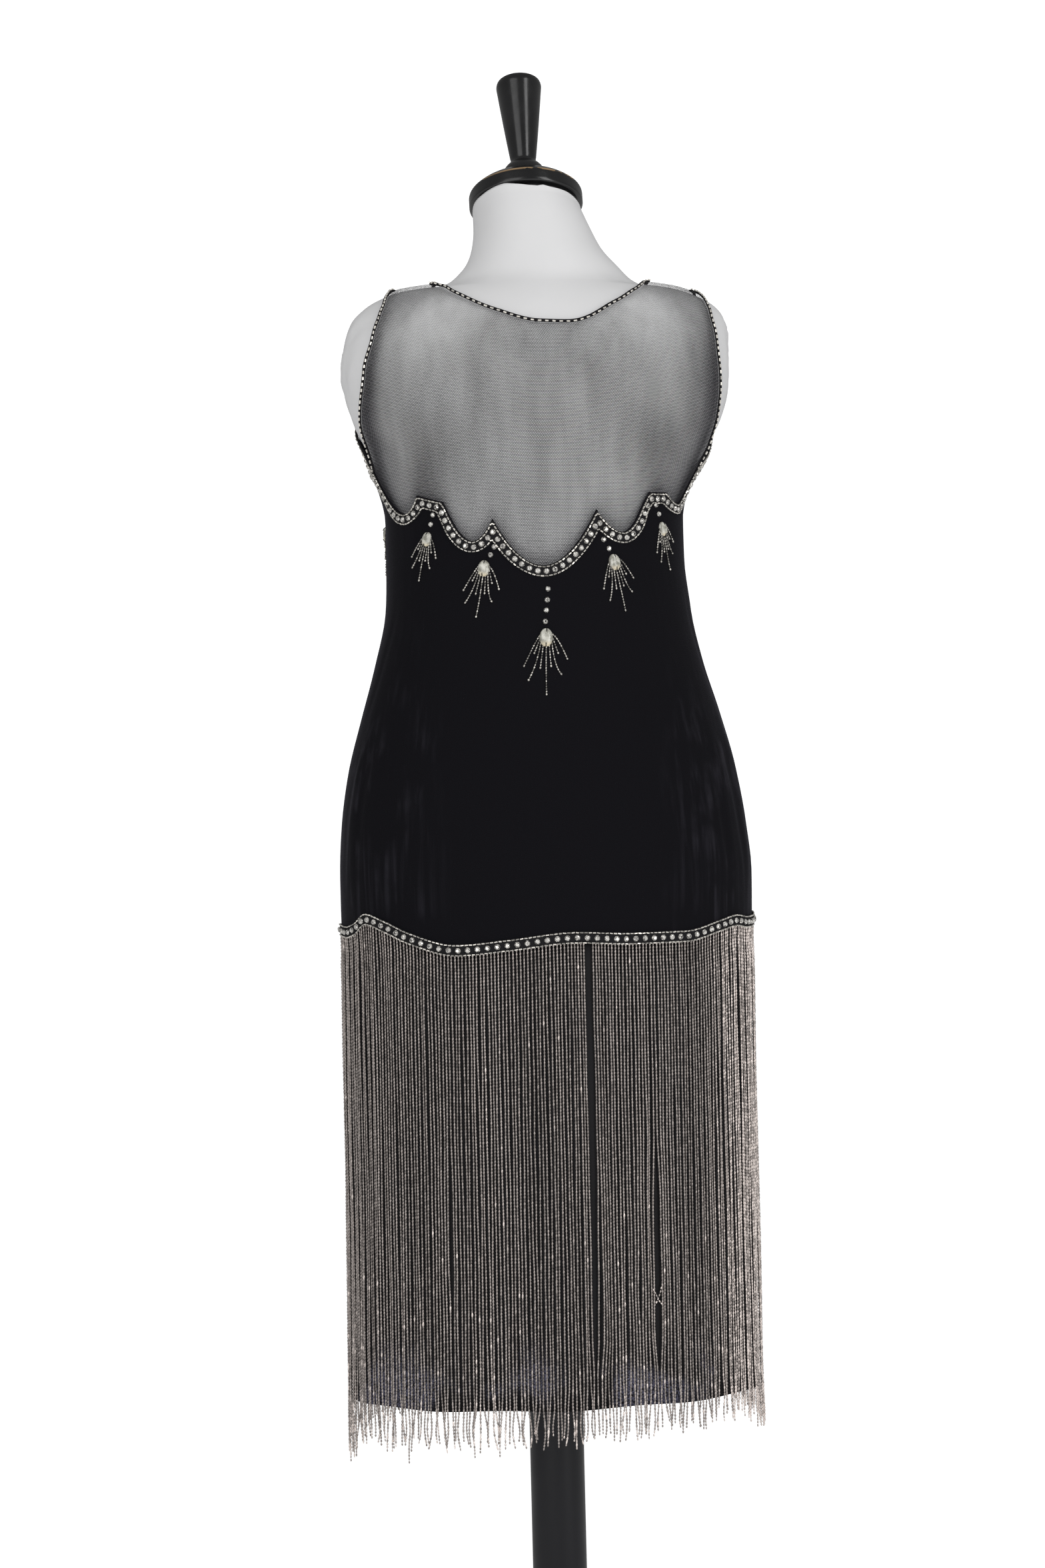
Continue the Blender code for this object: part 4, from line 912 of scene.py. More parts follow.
def velvet_material():
    """Black pile with a cool bloom at the edge, and painted sheen: lighter upright streaks on its sides."""
    material, tree, shader = new_material(
        "Black velvet", Roughness=0.88, Specular_IOR_Level=0.18, Sheen_Weight=0.10,
        Sheen_Roughness=0.30, Sheen_Tint=(0.72, 0.70, 0.88, 1.0))
    streak, blotch = streaks(tree, 150.0, 7.0)
    place = position(tree)
    parts = add_node(tree, "ShaderNodeSeparateXYZ", {0: place}).outputs
    # Painted sheen: the lighter colour lies in upright streaks on the sides of the velvet, mostly below a
    # height of one metre.
    aside = ramp(tree, maths(tree, "ABSOLUTE", parts[0]), 0.085, 0.135)
    low = ramp(tree, parts[2], 0.98, 1.06, 1.0, 0.15)
    share = maths(tree, "MULTIPLY", ramp(tree, streak, 0.42, 0.72), ramp(tree, blotch, 0.38, 0.62))
    share = maths(tree, "MULTIPLY", share, maths(tree, "MULTIPLY", aside, low))
    painted_sheen_streak = (0.014, 0.013, 0.018, 1.0)
    feed(shader, Base_Color=mix_colour(tree, share, rgba(settings()[0].velvet_colour), painted_sheen_streak))
    bump(tree, shader, noise(tree, place, 1400.0, 2.0), 0.35, 0.0006)
    return material


def crepe_material():
    """Black crepe underskirt with worn patches near the hem: the wear lowers their roughness, and bluish
    specks of painted sheen lie in them.
    """
    colour = settings()[0].skirt_colour
    material, tree, shader = new_material("Black crepe", Specular_IOR_Level=0.30)
    weave = place_group(tree, weave_group, Thread=0.0007)
    streak, _ = streaks(tree, 60.0, 9.0)
    place = position(tree)
    height = add_node(tree, "ShaderNodeSeparateXYZ", {0: place}).outputs[2]
    low = ramp(tree, height, 0.42, 0.475, 1.0, 0.0)
    worn = maths(tree, "MULTIPLY", low, ramp(tree, noise(tree, place, 13.0, 3.0), 0.50, 0.62))
    # Painted sheen: bluish light specks in the worn patches; the lower roughness there is the real wear.
    painted_sheen_speck = maths(tree, "MULTIPLY", worn, ramp(tree, noise(tree, place, 700.0, 2.0), 0.40, 0.60))
    plain = mix_colour(tree, streak, rgba(colour, 0.8), rgba(colour, 1.3))
    painted_wear_sheen = (0.16, 0.16, 0.24, 1.0)
    feed(shader, Base_Color=mix_colour(tree, painted_sheen_speck, plain, painted_wear_sheen),
         Roughness=ramp(tree, worn, 0.0, 1.0, 0.72, 0.30))
    bump(tree, shader, weave.outputs["Height"], 0.4, 0.0002)
    return material


def net_material():
    """Sheer black net, open between its threads."""
    cloth_settings = settings()[0]
    colour = cloth_settings.net_colour
    material, tree, shader = new_material(
        "Black net", Roughness=0.6, Specular_IOR_Level=0.3, Base_Color=rgba(colour))
    net = place_group(tree, net_group, Cell=cloth_settings.net_cell)
    streak, blotch = streaks(tree, 90.0, 16.0)
    uneven = maths(tree, "MULTIPLY_ADD", streak, 0.16, cloth_settings.net_thread - 0.08)
    # The shade attribute thickens the thread, which paints shade over the form behind; below 0 it thins the
    # thread and paints light.
    feed(net, Thread=maths(tree, "MULTIPLY_ADD", carried(tree, "shade"), 0.34, uneven))
    feed(shader, Alpha=net.outputs["Cover"],
         Base_Color=mix_colour(tree, blotch, rgba(colour, 0.7), rgba(colour, 1.6)))
    return material


def jersey_material():
    """White satin jersey, faintly ribbed, stretched over the form."""
    colour = settings()[0].jersey_colour
    material, tree, shader = new_material(
        "White jersey", Specular_IOR_Level=0.45, Sheen_Weight=0.05, Sheen_Roughness=0.4)
    weave = place_group(tree, weave_group, Thread=0.0006)
    streak, blotch = streaks(tree, 24.0, 9.0)
    feed(shader, Base_Color=mix_colour(tree, blotch, rgba(colour, 0.965), rgba(colour, 1.02)),
         Roughness=ramp(tree, streak, 0.3, 0.7, 0.40, 0.52))
    fine = maths(tree, "MULTIPLY", weave.outputs["Height"], 0.10)
    bump(tree, shader, maths(tree, "ADD", fine, blotch), 0.22, 0.0016)
    return material


def lacquer_material(worn):
    """Black lacquered wood; the cap has a worn edge that shows brown and gold."""
    stand = settings()[2]
    material, tree, shader = new_material(
        "Worn black lacquer" if worn else "Black lacquer", Specular_IOR_Level=0.5,
        Coat_Weight=0.30, Coat_Roughness=0.12)
    streak, blotch = streaks(tree, 70.0, 70.0)
    dust = ramp(tree, blotch, 0.35, 0.75)
    tone = mix_colour(tree, dust, rgba(stand.lacquer_colour, 0.9), rgba(stand.lacquer_colour, 1.7))
    if worn:
        chips = ramp(tree, noise(tree, position(tree), 95.0, 5.0), 0.40, 0.52)
        share = maths(tree, "MULTIPLY", carried(tree, "edge"), chips)
        tone = mix_colour(tree, ramp(tree, share, 0.1, 0.6), tone, rgba(stand.wear_colour))
    feed(shader, Base_Color=tone, Roughness=ramp(tree, streak, 0.3, 0.7, 0.20, 0.30))
    bump(tree, shader, streak, 0.08, 0.0006)
    return material


def pole_material():
    """Black painted tube with a soft shine."""
    material, tree, shader = new_material("Black pole", Specular_IOR_Level=0.32)
    streak, blotch = streaks(tree, 90.0, 3.0)
    tone = mix_colour(tree, streak, (0.006, 0.006, 0.0080, 1.0), (0.011, 0.011, 0.0140, 1.0))
    feed(shader, Base_Color=tone, Roughness=ramp(tree, blotch, 0.3, 0.7, 0.34, 0.44))
    bump(tree, shader, blotch, 0.05, 0.0004)
    return material


def bead_material(name, colour, dark, bright, roughness, metallic):
    """Glass beads lined with metal; each bead has its own tone, and the highest tones take a brighter painted
    glint colour.
    """
    material, tree, shader = new_material(name, Metallic=metallic, Specular_IOR_Level=0.6)
    tone = carried(tree, "tone")
    plain = mix_colour(tree, ramp(tree, tone, 0.0, 0.8), rgba(colour, dark), rgba(colour))
    # Painted glints: tones above 0.8 shift to the bright colour.
    lit = mix_colour(tree, ramp(tree, tone, 0.80, 1.0), plain, rgba(colour, bright))
    feed(shader, Base_Color=lit, Roughness=ramp(tree, tone, 0.0, 1.0, roughness * 1.4, roughness * 0.6))
    return material


def silver_material():
    """Silver tube beads, the brightest of the glass."""
    return bead_material("Silver tubes", settings()[1].silver_colour, 0.35, 1.35, 0.20, 0.45)


def rhinestone_material():
    """Foiled rhinestone: each facet gets a random painted reflection, from dark through grey to a near-white
    painted glint.
    """
    material, tree, shader = new_material("Rhinestone", Metallic=0.50, Coat_Weight=0.6, Coat_Roughness=0.05)
    facet = carried(tree, "facet")
    # Painted reflections: the facet's random value picks dark, grey or near-white.
    dark = mix_colour(tree, ramp(tree, facet, 0.05, 0.45), (0.10, 0.095, 0.09, 1.0), (0.58, 0.56, 0.52, 1.0))
    tone = mix_colour(tree, ramp(tree, facet, 0.52, 0.85), dark, (0.99, 0.97, 0.92, 1.0))
    feed(shader, Base_Color=tone, Roughness=ramp(tree, facet, 0.0, 1.0, 0.34, 0.10))
    return material


def opal_material():
    """Cream oval stone with a painted warm highlight along its lower edge."""
    material, tree, shader = new_material("Cream stone", Coat_Weight=0.8, Coat_Roughness=0.06, Roughness=0.22)
    cloud = ramp(tree, noise(tree, position(tree), 240.0, 3.0), 0.35, 0.68)
    body = mix_colour(tree, cloud, (0.28, 0.275, 0.23, 1.0), (0.68, 0.67, 0.60, 1.0))
    # Painted highlight: a warm light colour towards the lower edge.
    painted_glow = ramp(tree, carried(tree, "painted_glow"), 0.62, 1.0)
    feed(shader, Base_Color=mix_colour(tree, painted_glow, body, (0.90, 0.79, 0.56, 1.0)))
    return material


def thread_material():
    """Black thread and band ground, finely ribbed."""
    material, tree, shader = new_material("Black ground", Roughness=0.8, Specular_IOR_Level=0.25)
    grain = noise(tree, position(tree), 900.0, 2.0)
    feed(shader, Base_Color=mix_colour(tree, grain, (0.003, 0.003, 0.004, 1.0), (0.012, 0.011, 0.013, 1.0)))
    bump(tree, shader, grain, 0.5, 0.0004)
    return material


# beads by Geometry Nodes

BEAD_INPUTS = (
    ("Bead", "NodeSocketObject"), ("Material", "NodeSocketMaterial"), ("Pitch", "NodeSocketFloat"),
    ("Length", "NodeSocketFloat"), ("Width", "NodeSocketFloat"), ("Height", "NodeSocketFloat"),
    ("Unevenness", "NodeSocketFloat"), ("Roll", "NodeSocketFloat"), ("Sway", "NodeSocketFloat"),
    ("Spread", "NodeSocketFloat"), ("Seed", "NodeSocketInt"),
)


def chance(tree, low, high, seed, offset):
    """Random value, the same at each run."""
    made = add_node(tree, "FunctionNodeRandomValue",
                    {2: low, 3: high, "Seed": maths(tree, "ADD", seed, offset)}, data_type="FLOAT")
    return made.outputs[1]


def bead_tree(on_lines):
    """Tree that sets a bead at each step along lines, or at each given place."""
    name = "Beads along lines" if on_lines else "Beads at places"
    tree = bpy.data.node_groups.new(name, "GeometryNodeTree")
    tree.interface.new_socket("Places", in_out="INPUT", socket_type="NodeSocketGeometry")
    for label, kind in BEAD_INPUTS:
        tree.interface.new_socket(label, in_out="INPUT", socket_type=kind)
    tree.interface.new_socket("Beads", in_out="OUTPUT", socket_type="NodeSocketGeometry")
    given = tree.nodes.new("NodeGroupInput").outputs
    result = tree.nodes.new("NodeGroupOutput")
    seed = given["Seed"]

    def stored(label, kind="FLOAT"):
        made = add_node(tree, "GeometryNodeInputNamedAttribute", {"Name": label}, data_type=kind)
        return made.outputs[0]

    if on_lines:
        curve = add_node(tree, "GeometryNodeMeshToCurve", {"Mesh": given["Places"]})
        steps = add_node(tree, "GeometryNodeResampleCurve",
                         {"Curve": curve.outputs[0], "Length": given["Pitch"]}, mode="LENGTH")
        points = steps.outputs[0]
        way = tree.nodes.new("GeometryNodeInputTangent").outputs[0]
    else:
        points = given["Places"]
        way = stored("way", "FLOAT_VECTOR")
    stand = add_node(tree, "FunctionNodeAlignRotationToVector",
                     {"Vector": stored("out", "FLOAT_VECTOR")}, axis="Z")
    lie = add_node(tree, "FunctionNodeAlignRotationToVector",
                   {"Rotation": stand.outputs[0], "Vector": way}, axis="X", pivot_axis="Z")
    turn = maths(tree, "MULTIPLY", chance(tree, -math.pi, math.pi, seed, 1), given["Roll"])
    yaw = maths(tree, "MULTIPLY", chance(tree, -1.0, 1.0, seed, 7), given["Sway"])
    euler = add_node(tree, "ShaderNodeCombineXYZ", {0: turn, 2: yaw})
    spin = add_node(tree, "FunctionNodeEulerToRotation", {0: euler.outputs[0]})
    rotation = add_node(tree, "FunctionNodeRotateRotation",
                        {"Rotation": lie.outputs[0], "Rotate By": spin.outputs[0]}, rotation_space="LOCAL")
    uneven = given["Unevenness"]
    low = maths(tree, "SUBTRACT", 1.0, uneven)
    high = maths(tree, "ADD", 1.0, uneven)
    size = stored("size")
    longer = maths(tree, "LESS_THAN", chance(tree, 0.0, 1.0, seed, 2), stored("long"))
    stretch = maths(tree, "MULTIPLY_ADD", longer, 0.8, 1.0)
    girth = maths(tree, "MULTIPLY", chance(tree, low, high, seed, 3), size)
    length = maths(tree, "MULTIPLY", maths(tree, "MULTIPLY", given["Length"], stretch),
                   maths(tree, "MULTIPLY", chance(tree, low, high, seed, 4), size))
    scale = add_node(tree, "ShaderNodeCombineXYZ", {
        0: length, 1: maths(tree, "MULTIPLY", given["Width"], girth),
        2: maths(tree, "MULTIPLY", given["Height"], girth)})
    shape = add_node(tree, "GeometryNodeObjectInfo", {"Object": given["Bead"]})
    beads = add_node(tree, "GeometryNodeInstanceOnPoints", {
        "Points": points, "Instance": shape.outputs["Geometry"],
        "Rotation": rotation.outputs[0], "Scale": scale.outputs[0]})
    spread = maths(tree, "MULTIPLY", chance(tree, -1.0, 1.0, seed, 5), given["Spread"])
    brighter = maths(tree, "MULTIPLY_ADD", longer, 0.30, spread)
    tone = maths(tree, "ADD", stored("tone"), brighter)
    toned = add_node(tree, "GeometryNodeStoreNamedAttribute",
                     {"Geometry": beads.outputs[0], "Name": "tone", "Value": tone},
                     data_type="FLOAT", domain="INSTANCE")
    whole = add_node(tree, "GeometryNodeRealizeInstances", {0: toned.outputs[0]})
    facets = add_node(tree, "GeometryNodeStoreNamedAttribute",
                      {"Geometry": whole.outputs[0], "Name": "facet",
                       "Value": chance(tree, 0.0, 1.0, seed, 6)},
                      data_type="FLOAT", domain="FACE")
    dressed = add_node(tree, "GeometryNodeSetMaterial",
                       {"Geometry": facets.outputs[0], "Material": given["Material"]})
    tree.links.new(dressed.outputs[0], result.inputs[0])
    return tree


def turned_bead(name, profile, sides, smooth=True, ends=True):
    """Bead of length 1 along X and width 1, turned from (share of length, radius)."""
    vertices = []
    for place, radius in profile:
        for side in range(sides):
            turn = 2 * math.pi * side / sides
            vertices.append((place, radius * math.cos(turn), radius * math.sin(turn)))
    faces = [face[::-1] for face in grid_faces(len(profile), sides, closed=True)]
    if ends:
        faces.append(tuple(range(sides)))
        faces.append(tuple(reversed(range(len(vertices) - sides, len(vertices)))))
    return mesh_object(name, vertices, faces, smooth=smooth)


def seed_bead():
    """Small round bead with four sides and open ends, which its neighbours close."""
    return turned_bead("seed_bead", ((-0.5, 0.25), (0.0, 0.5), (0.5, 0.25)), 4, ends=False)


def bugle_bead():
    """Six-sided tube bead with slightly softened ends."""
    profile = ((-0.5, 0.36), (-0.40, 0.5), (0.40, 0.5), (0.5, 0.36))
    return turned_bead("bugle_bead", profile, 6, smooth=False)


def ball_bead():
    """Round bead for the tips of the rays."""
    turns = [math.pi * step / 5 for step in range(1, 5)]
    return turned_bead("ball_bead", [(-0.5 * math.cos(t), 0.5 * math.sin(t)) for t in turns], 7)


def cut_stone():
    """Rhinestone: table, crown facets and a low girdle; it lies flat, its table up."""
    tiers = ((0.0, 0.50), (0.16, 0.50), (0.44, 0.34), (0.50, 0.22))
    sides = 8
    vertices = []
    for tier, (height, radius) in enumerate(tiers):
        for side in range(sides):
            turn = 2 * math.pi * (side + 0.5 * (tier % 2)) / sides
            vertices.append((radius * math.cos(turn), radius * math.sin(turn), height))
    faces = []
    for tier in range(len(tiers) - 1):
        a = tier * sides
        b = a + sides
        for side in range(sides):
            following = (side + 1) % sides
            if tier % 2 == 0:
                faces.append((a + side, a + following, b + side))
                faces.append((a + following, b + following, b + side))
            else:
                faces.append((a + side, a + following, b + following))
                faces.append((a + side, b + following, b + side))
    faces.append(tuple(range(len(vertices) - sides, len(vertices))))
    faces.append(tuple(reversed(range(sides))))
    return mesh_object("cut_stone", vertices, faces, smooth=False)


def lines_object(name, lines):
    """Lines as a mesh of edges; each line is a dict of points, outs and values."""
    vertices = []
    edges = []
    values = {"out": [], "way": [], "tone": [], "long": [], "size": []}
    for line in lines:
        points = line["points"]
        start = len(vertices)
        count = len(points)
        vertices += points.tolist()
        if line.get("joined", True):
            edges += [(start + i, start + i + 1) for i in range(count - 1)]
            if line.get("closed"):
                edges.append((start + count - 1, start))
        values["out"] += line["outs"].tolist()
        values["way"] += line.get("ways", line["outs"]).tolist()
        for key, plain in (("tone", 0.5), ("long", 0.0), ("size", 1.0)):
            values[key] += np.broadcast_to(line.get(key, plain), count).tolist()
    obj = mesh_object(name, vertices, [], edges, smooth=False)
    for key, given in values.items():
        give_attribute(obj, key, "FLOAT_VECTOR" if key in ("out", "way") else "FLOAT", given)
    return obj


def apply_modifiers(obj):
    """Give an object the mesh that its modifiers make; it isn't in the scene before or after."""
    placed = bpy.context.scene.collection.objects
    placed.link(obj)
    bpy.context.view_layer.update()
    graph = bpy.context.evaluated_depsgraph_get()
    mesh = bpy.data.meshes.new_from_object(obj.evaluated_get(graph), preserve_all_data_layers=True,
                                           depsgraph=graph)
    obj.modifiers.clear()
    obj.data = mesh
    placed.unlink(obj)


def make_beads(name, lines, bead, material, slot, nodes, on_lines=True, **sizes):
    """Run the bead tree on lines or places and keep the result as a plain mesh."""
    obj = lines_object(name, lines)
    shape = bead()
    bpy.context.scene.collection.objects.link(shape)
    tree = shared(bead_tree, on_lines)
    modifier = obj.modifiers.new("beads", "NODES")
    modifier.node_group = tree
    given = {"Bead": shape, "Material": material, "Pitch": 0.01, "Length": 0.003, "Width": 0.002,
             "Height": 0.002, "Unevenness": 0.0, "Roll": 0.0, "Sway": 0.0, "Spread": 0.3,
             "Seed": settings()[1].seed}
    given.update(sizes)
    for item in tree.interface.items_tree:
        if item.name in given:
            modifier[item.identifier] = given[item.name]
    apply_modifiers(obj)
    bpy.data.objects.remove(shape)
    if not obj.data.polygons:
        raise RuntimeError("no beads were made for " + name)
    return finished(obj, None, slot, *nodes)


def cloth_line(angles, levels, out, **values):
    """Line on the dress, moved out, for the bead tree."""
    return {"points": cloth(angles, levels, out), "outs": outward(angles, levels), **values}


# the dress form

METRES_A_DEGREE = 0.0022


def soft_spots(table, angle, height):
    """Sum of soft long spots: angle, height, half length, half width, turn and amount."""
    total = np.zeros(np.broadcast(angle, height).shape)
    for place, middle, half_length, half_width, turn, rise in table:
        across = turn_from(angle, place) * METRES_A_DEGREE
        along = height - middle
        bend = math.radians(turn)
        side = across * math.cos(bend) - along * math.sin(bend)
        way = across * math.sin(bend) + along * math.cos(bend)
        total = total + rise * np.exp(-(side / half_width) ** 2 - (way / half_length) ** 2)
    return total


# Softened hollow of the nape: lower and upper end, width over which it sets in,
# spread of the softening and its step and number of steps to each side.
NAPE_LOW = 1.375
NAPE_HIGH = 1.435
NAPE_EASE = 0.01
NAPE_SPREAD = 0.0055
NAPE_STEP = 0.0005
NAPE_REACH = 24


def soften_nape(rings, angles):
    """Ease the hollow between the shoulders and the neck, so that no line shows there."""
    heights = np.arange(1.34, 1.47, NAPE_STEP)
    kernel = np.exp(-(np.arange(-NAPE_REACH, NAPE_REACH + 1) * NAPE_STEP / NAPE_SPREAD) ** 2 / 2)
    kernel /= kernel.sum()
    share = part_of(np.abs(np.sin(np.radians(angles))) - 0.55, 0.25)
    for column in range(len(angles)):
        z = rings[:, column, 2].copy()
        near = part_of(z - NAPE_LOW, NAPE_EASE) * part_of(NAPE_HIGH - z, NAPE_EASE)
        for axis in (0, 1):
            even = np.interp(heights, z, rings[:, column, axis])
            soft = np.convolve(np.pad(even, NAPE_REACH, mode="edge"), kernel, mode="valid")
            rings[:, column, axis] += np.interp(z, heights, soft - even) * share[column] * near


# Rings that close the form: at the neck share of the edge, share of the lip's
# rise and drop; under the hips share of the edge and drop.
NECK_RINGS = (
    (1.004, 0.7, 0.0), (1.0, 1.0, 0.0), (0.986, 1.0, 0.0004), (0.966, 0.8, 0.0006),
    (0.955, 0.0, 0.0014), (0.60, 0.0, 0.0030), (0.02, 0.0, 0.0030),
)
HIP_RINGS = ((0.02, 0.012), (0.60, 0.012), (0.90, 0.0115), (0.965, 0.007))
JERSEY_INSET = 0.0011
FORM_SIDES = 112
JERSEY_DEGREE = 0.0026
# Rows of the form get closer together between these two heights.
SHOULDERS_FROM = 1.200
SHOULDERS_TO = 1.440


def build_form():
    """Jersey over the padded form, from the hips to the cut neck."""
    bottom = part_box("form_torso")[0].z + HIP_RINGS[0][1]
    levels = np.concatenate([
        np.linspace(level_at(bottom), level_at(SHOULDERS_FROM), 14, endpoint=False),
        np.linspace(level_at(SHOULDERS_FROM), level_at(SHOULDERS_TO), 62, endpoint=False),
        np.linspace(level_at(SHOULDERS_TO), LAST_LEVEL, 8)])
    angles = np.linspace(0, 360, FORM_SIDES, endpoint=False)
    columns, rows = np.meshgrid(angles, levels)
    inset = JERSEY_INSET - soft_spots(CAP_FOLDS, columns, blend(rows, "height"))
    rings = skin(columns, rows) - outward(columns, rows) * inset[..., None]
    edge = rings[-1]
    middle = edge.mean(axis=0)
    soften_nape(rings, angles)
    lip = along_table(LIP_ROWS, angles)
    rolled = []
    for share, rise, drop in NECK_RINGS:
        ring = middle + (edge - middle) * share
        ring[:, 2] += lip * rise - drop
        rolled.append(ring)
    foot = rings[0]
    centre = foot.mean(axis=0)
    under = []
    for share, drop in HIP_RINGS:
        ring = centre + (foot - centre) * share
        ring[:, 2] = bottom - drop
        under.append(ring)
    grid = np.concatenate([under, rings, rolled])
    vertices = grid.reshape(-1, 3)
    faces = grid_faces(len(grid), FORM_SIDES, closed=True)
    faces.append(tuple(range(FORM_SIDES - 1, -1, -1)))
    faces.append(tuple(range(len(vertices) - FORM_SIDES, len(vertices))))
    obj = mesh_object("dress_form", vertices, faces)
    across = np.tile(angles * JERSEY_DEGREE, (len(grid), 1))
    along = np.repeat(grid[:, :, 2].mean(axis=1)[:, None], FORM_SIDES, axis=1)
    give_uv(obj, across, along)
    return finished(obj, jersey_material(), "jersey", "form_torso")


class FLAPPER_OT_form(Builds, bpy.types.Operator):
    """Build the dress form under the dress"""
    bl_idname = "flapper.form"
    bl_label = "Dress form"
    builders = (build_form,)


# the stand

def turned_piece(name, profile, steps, parts):
    """Round piece turned from a softened profile."""
    table = np.array(profile)
    knots = run_along(table)
    spans = [np.linspace(a, b, parts, endpoint=False) for a, b in zip(knots, knots[1:])]
    places = np.concatenate(spans + [knots[-1:]])
    radii = soft_curve(knots, table[:, 0], places)
    heights = soft_curve(knots, table[:, 1], places)
    points = np.stack([radii, 0 * radii, heights], -1)
    obj = mesh_object(name, points, [], [(i, i + 1) for i in range(len(points) - 1)], smooth=False)
    screw = obj.modifiers.new("turn", "SCREW")
    screw.steps = steps
    screw.render_steps = steps
    screw.use_merge_vertices = True
    screw.merge_threshold = 0.00002
    screw.use_normal_flip = True
    apply_modifiers(obj)
    obj.data.shade_smooth()
    return obj


def head_matrix():
    return Matrix.Translation(HEAD_PLACE) @ Matrix.Rotation(-HEAD_LEAN, 4, "X")


RIM_RADIUS = 0.0510
RIM_HEIGHT = 0.0190
RIM_WEAR = 0.0022


def build_stand():
    """Cap, finial, pole and base of the stand."""
    stand = settings()[2]
    plain = lacquer_material(False)
    cap = turned_piece("cap", CAP_PROFILE, 96, 4)
    rim = []
    for vertex in cap.data.vertices:
        x, y, z = vertex.co
        away = math.hypot(math.hypot(x, y) - RIM_RADIUS, z - RIM_HEIGHT)
        rim.append(max(0.0, 1.0 - away / RIM_WEAR) * (0.72 + 0.28 * x / 0.0516))
    give_attribute(cap, "edge", "FLOAT", rim)
    cap.data.transform(head_matrix())
    finished(cap, lacquer_material(True), "turned_black", "neck_cap")
    knob = turned_piece("knob", FINIAL_PROFILE, 72, 4)
    knob.data.transform(head_matrix())
    finished(knob, plain, "turned_black", "finial")
    low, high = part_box("stand_pole")
    radius = stand.pole_radius
    profile = ((0.0, low.z), (radius - 0.0005, low.z), (radius, low.z + 0.0008),
               (radius, high.z - 0.0008), (radius - 0.0005, high.z), (0.0, high.z))
    finished(turned_piece("pole", profile, 64, 2), pole_material(), "pole_black", "stand_pole")
    finished(turned_piece("base", BASE_PROFILE, 112, 3), plain, "turned_black", "stand_base")


class FLAPPER_OT_stand(Builds, bpy.types.Operator):
    """Build the cap, the knob, the pole and the base"""
    bl_idname = "flapper.stand"
    bl_label = "Stand"
    builders = (build_stand,)


# velvet

def crease_rise(angle, level):
    """Rise of the fine creases of the velvet."""
    height = blend(level, "height")
    total = np.zeros(np.broadcast(angle, level).shape)
    for place, lean, bottom, top, half_width, rise in CREASES:
        line = place + lean * (height - bottom)
        side = np.exp(-((angle - line) / half_width) ** 2)
        ends = part_of(height - bottom, 0.03) * part_of(top - height, 0.05)
        total = total + rise * side * ends * ends * (3 - 2 * ends)
    return total


def velvet(angle, level, out=0.0):
    """Points on the velvet with its fine creases."""
    return cloth(angle, level, out) + outward(angle, level) * crease_rise(angle, level)[..., None]


def panel_angles(rows, count):
    """Even columns of a panel, with one more at each corner of its edge."""
    even = np.linspace(rows[0][0], rows[-1][0], count)
    corners = [row[0] for row in rows if row[2]]
    return np.unique(np.round(np.concatenate([even, corners]), 4))


def cloth_rows(foot, top, count):
    """Even rows of heights from the foot of a panel to its top."""
    return np.array([foot + (top - foot) * t for t in np.linspace(0, 1, count)])


PANELS = (("back", SCALLOP_BACK), ("front", SCALLOP_FRONT))
VELVET_FOOT = 0.0030
SKIRT_TOP = 0.0056
SKIRT_WAVE = 0.0007


def build_bodice():
    """Velvet panels from the scallops down to the hips."""
    wall = settings()[0].velvet_wall
    material = velvet_material()
    for side, rows in PANELS:
        angles = panel_angles(rows, 136)
        edge = scallop_height(rows, angles)
        foot = hip_height(np.minimum(angles, angles[-1] - 0.01)) - VELVET_FOOT
        heights = cloth_rows(foot, edge, 44)
        grid = velvet(np.broadcast_to(angles, heights.shape), level_at(heights))
        obj, width, length = sheet_object("velvet_" + side, grid, wall)
        finished(obj, material, "velvet", "bodice_" + side)


class FLAPPER_OT_bodice(Builds, bpy.types.Operator):
    """Build the velvet panels"""
    bl_idname = "flapper.bodice"
    bl_label = "Velvet"
    builders = (build_bodice,)


# underskirt

def build_skirt():
    """Plain black underskirt behind the fringe, with an uneven hem."""
    material = crepe_material()
    for side, start in (("back", 180.0), ("front", 0.0)):
        angles = np.linspace(start, start + 180.0, 73)
        top = hip_height(np.minimum(angles, start + 179.99)) - SKIRT_TOP
        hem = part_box("skirt_" + side)[0].z + 0.0008 * np.sin(np.radians(angles * 9)) + 0.0006
        heights = cloth_rows(hem, top, 20)
        columns = np.broadcast_to(angles, heights.shape)
        wave = SKIRT_WAVE * np.sin(np.radians(columns * 11)) * part_of(0.60 - heights, 0.15) - SKIRT_WAVE
        grid = cloth(columns, level_at(heights), wave)
        obj, width, length = sheet_object("underskirt_" + side, grid, settings()[0].skirt_wall)
        finished(obj, material, "underskirt", "skirt_" + side)


class FLAPPER_OT_skirt(Builds, bpy.types.Operator):
    """Build the underskirt"""
    bl_idname = "flapper.skirt"
    bl_label = "Underskirt"
    builders = (build_skirt,)


# net yoke and its bindings

METRES_PER_DEGREE = 0.0024
METRES_PER_LEVEL = 0.0180
PATCH_TURNS = 900
ROW_CROWDING = 1.4
NET_COLUMNS = 101
NET_ROWS = 45
SHOULDER_COLUMNS = 13
NET_INSET = 0.0002
NECK_PITCH = 0.0064
ARMHOLE_PITCH = 0.0054
BINDING_GAP = 0.0009
BINDING_FLATNESS = 0.62
BINDING_SIDES = 8
BEAD_FACING = math.radians(38)
KNOT_ANGLE = 267.5
YOKES = (
    ("back", SCALLOP_BACK, 187.0, 346.0, ARMHOLE_LEFT_BACK, ARMHOLE_RIGHT_BACK, NECKLINE_BACK),
    ("front", SCALLOP_FRONT, 13.0, 167.0, ARMHOLE_RIGHT_FRONT, ARMHOLE_LEFT_FRONT, NECKLINE_FRONT),
)


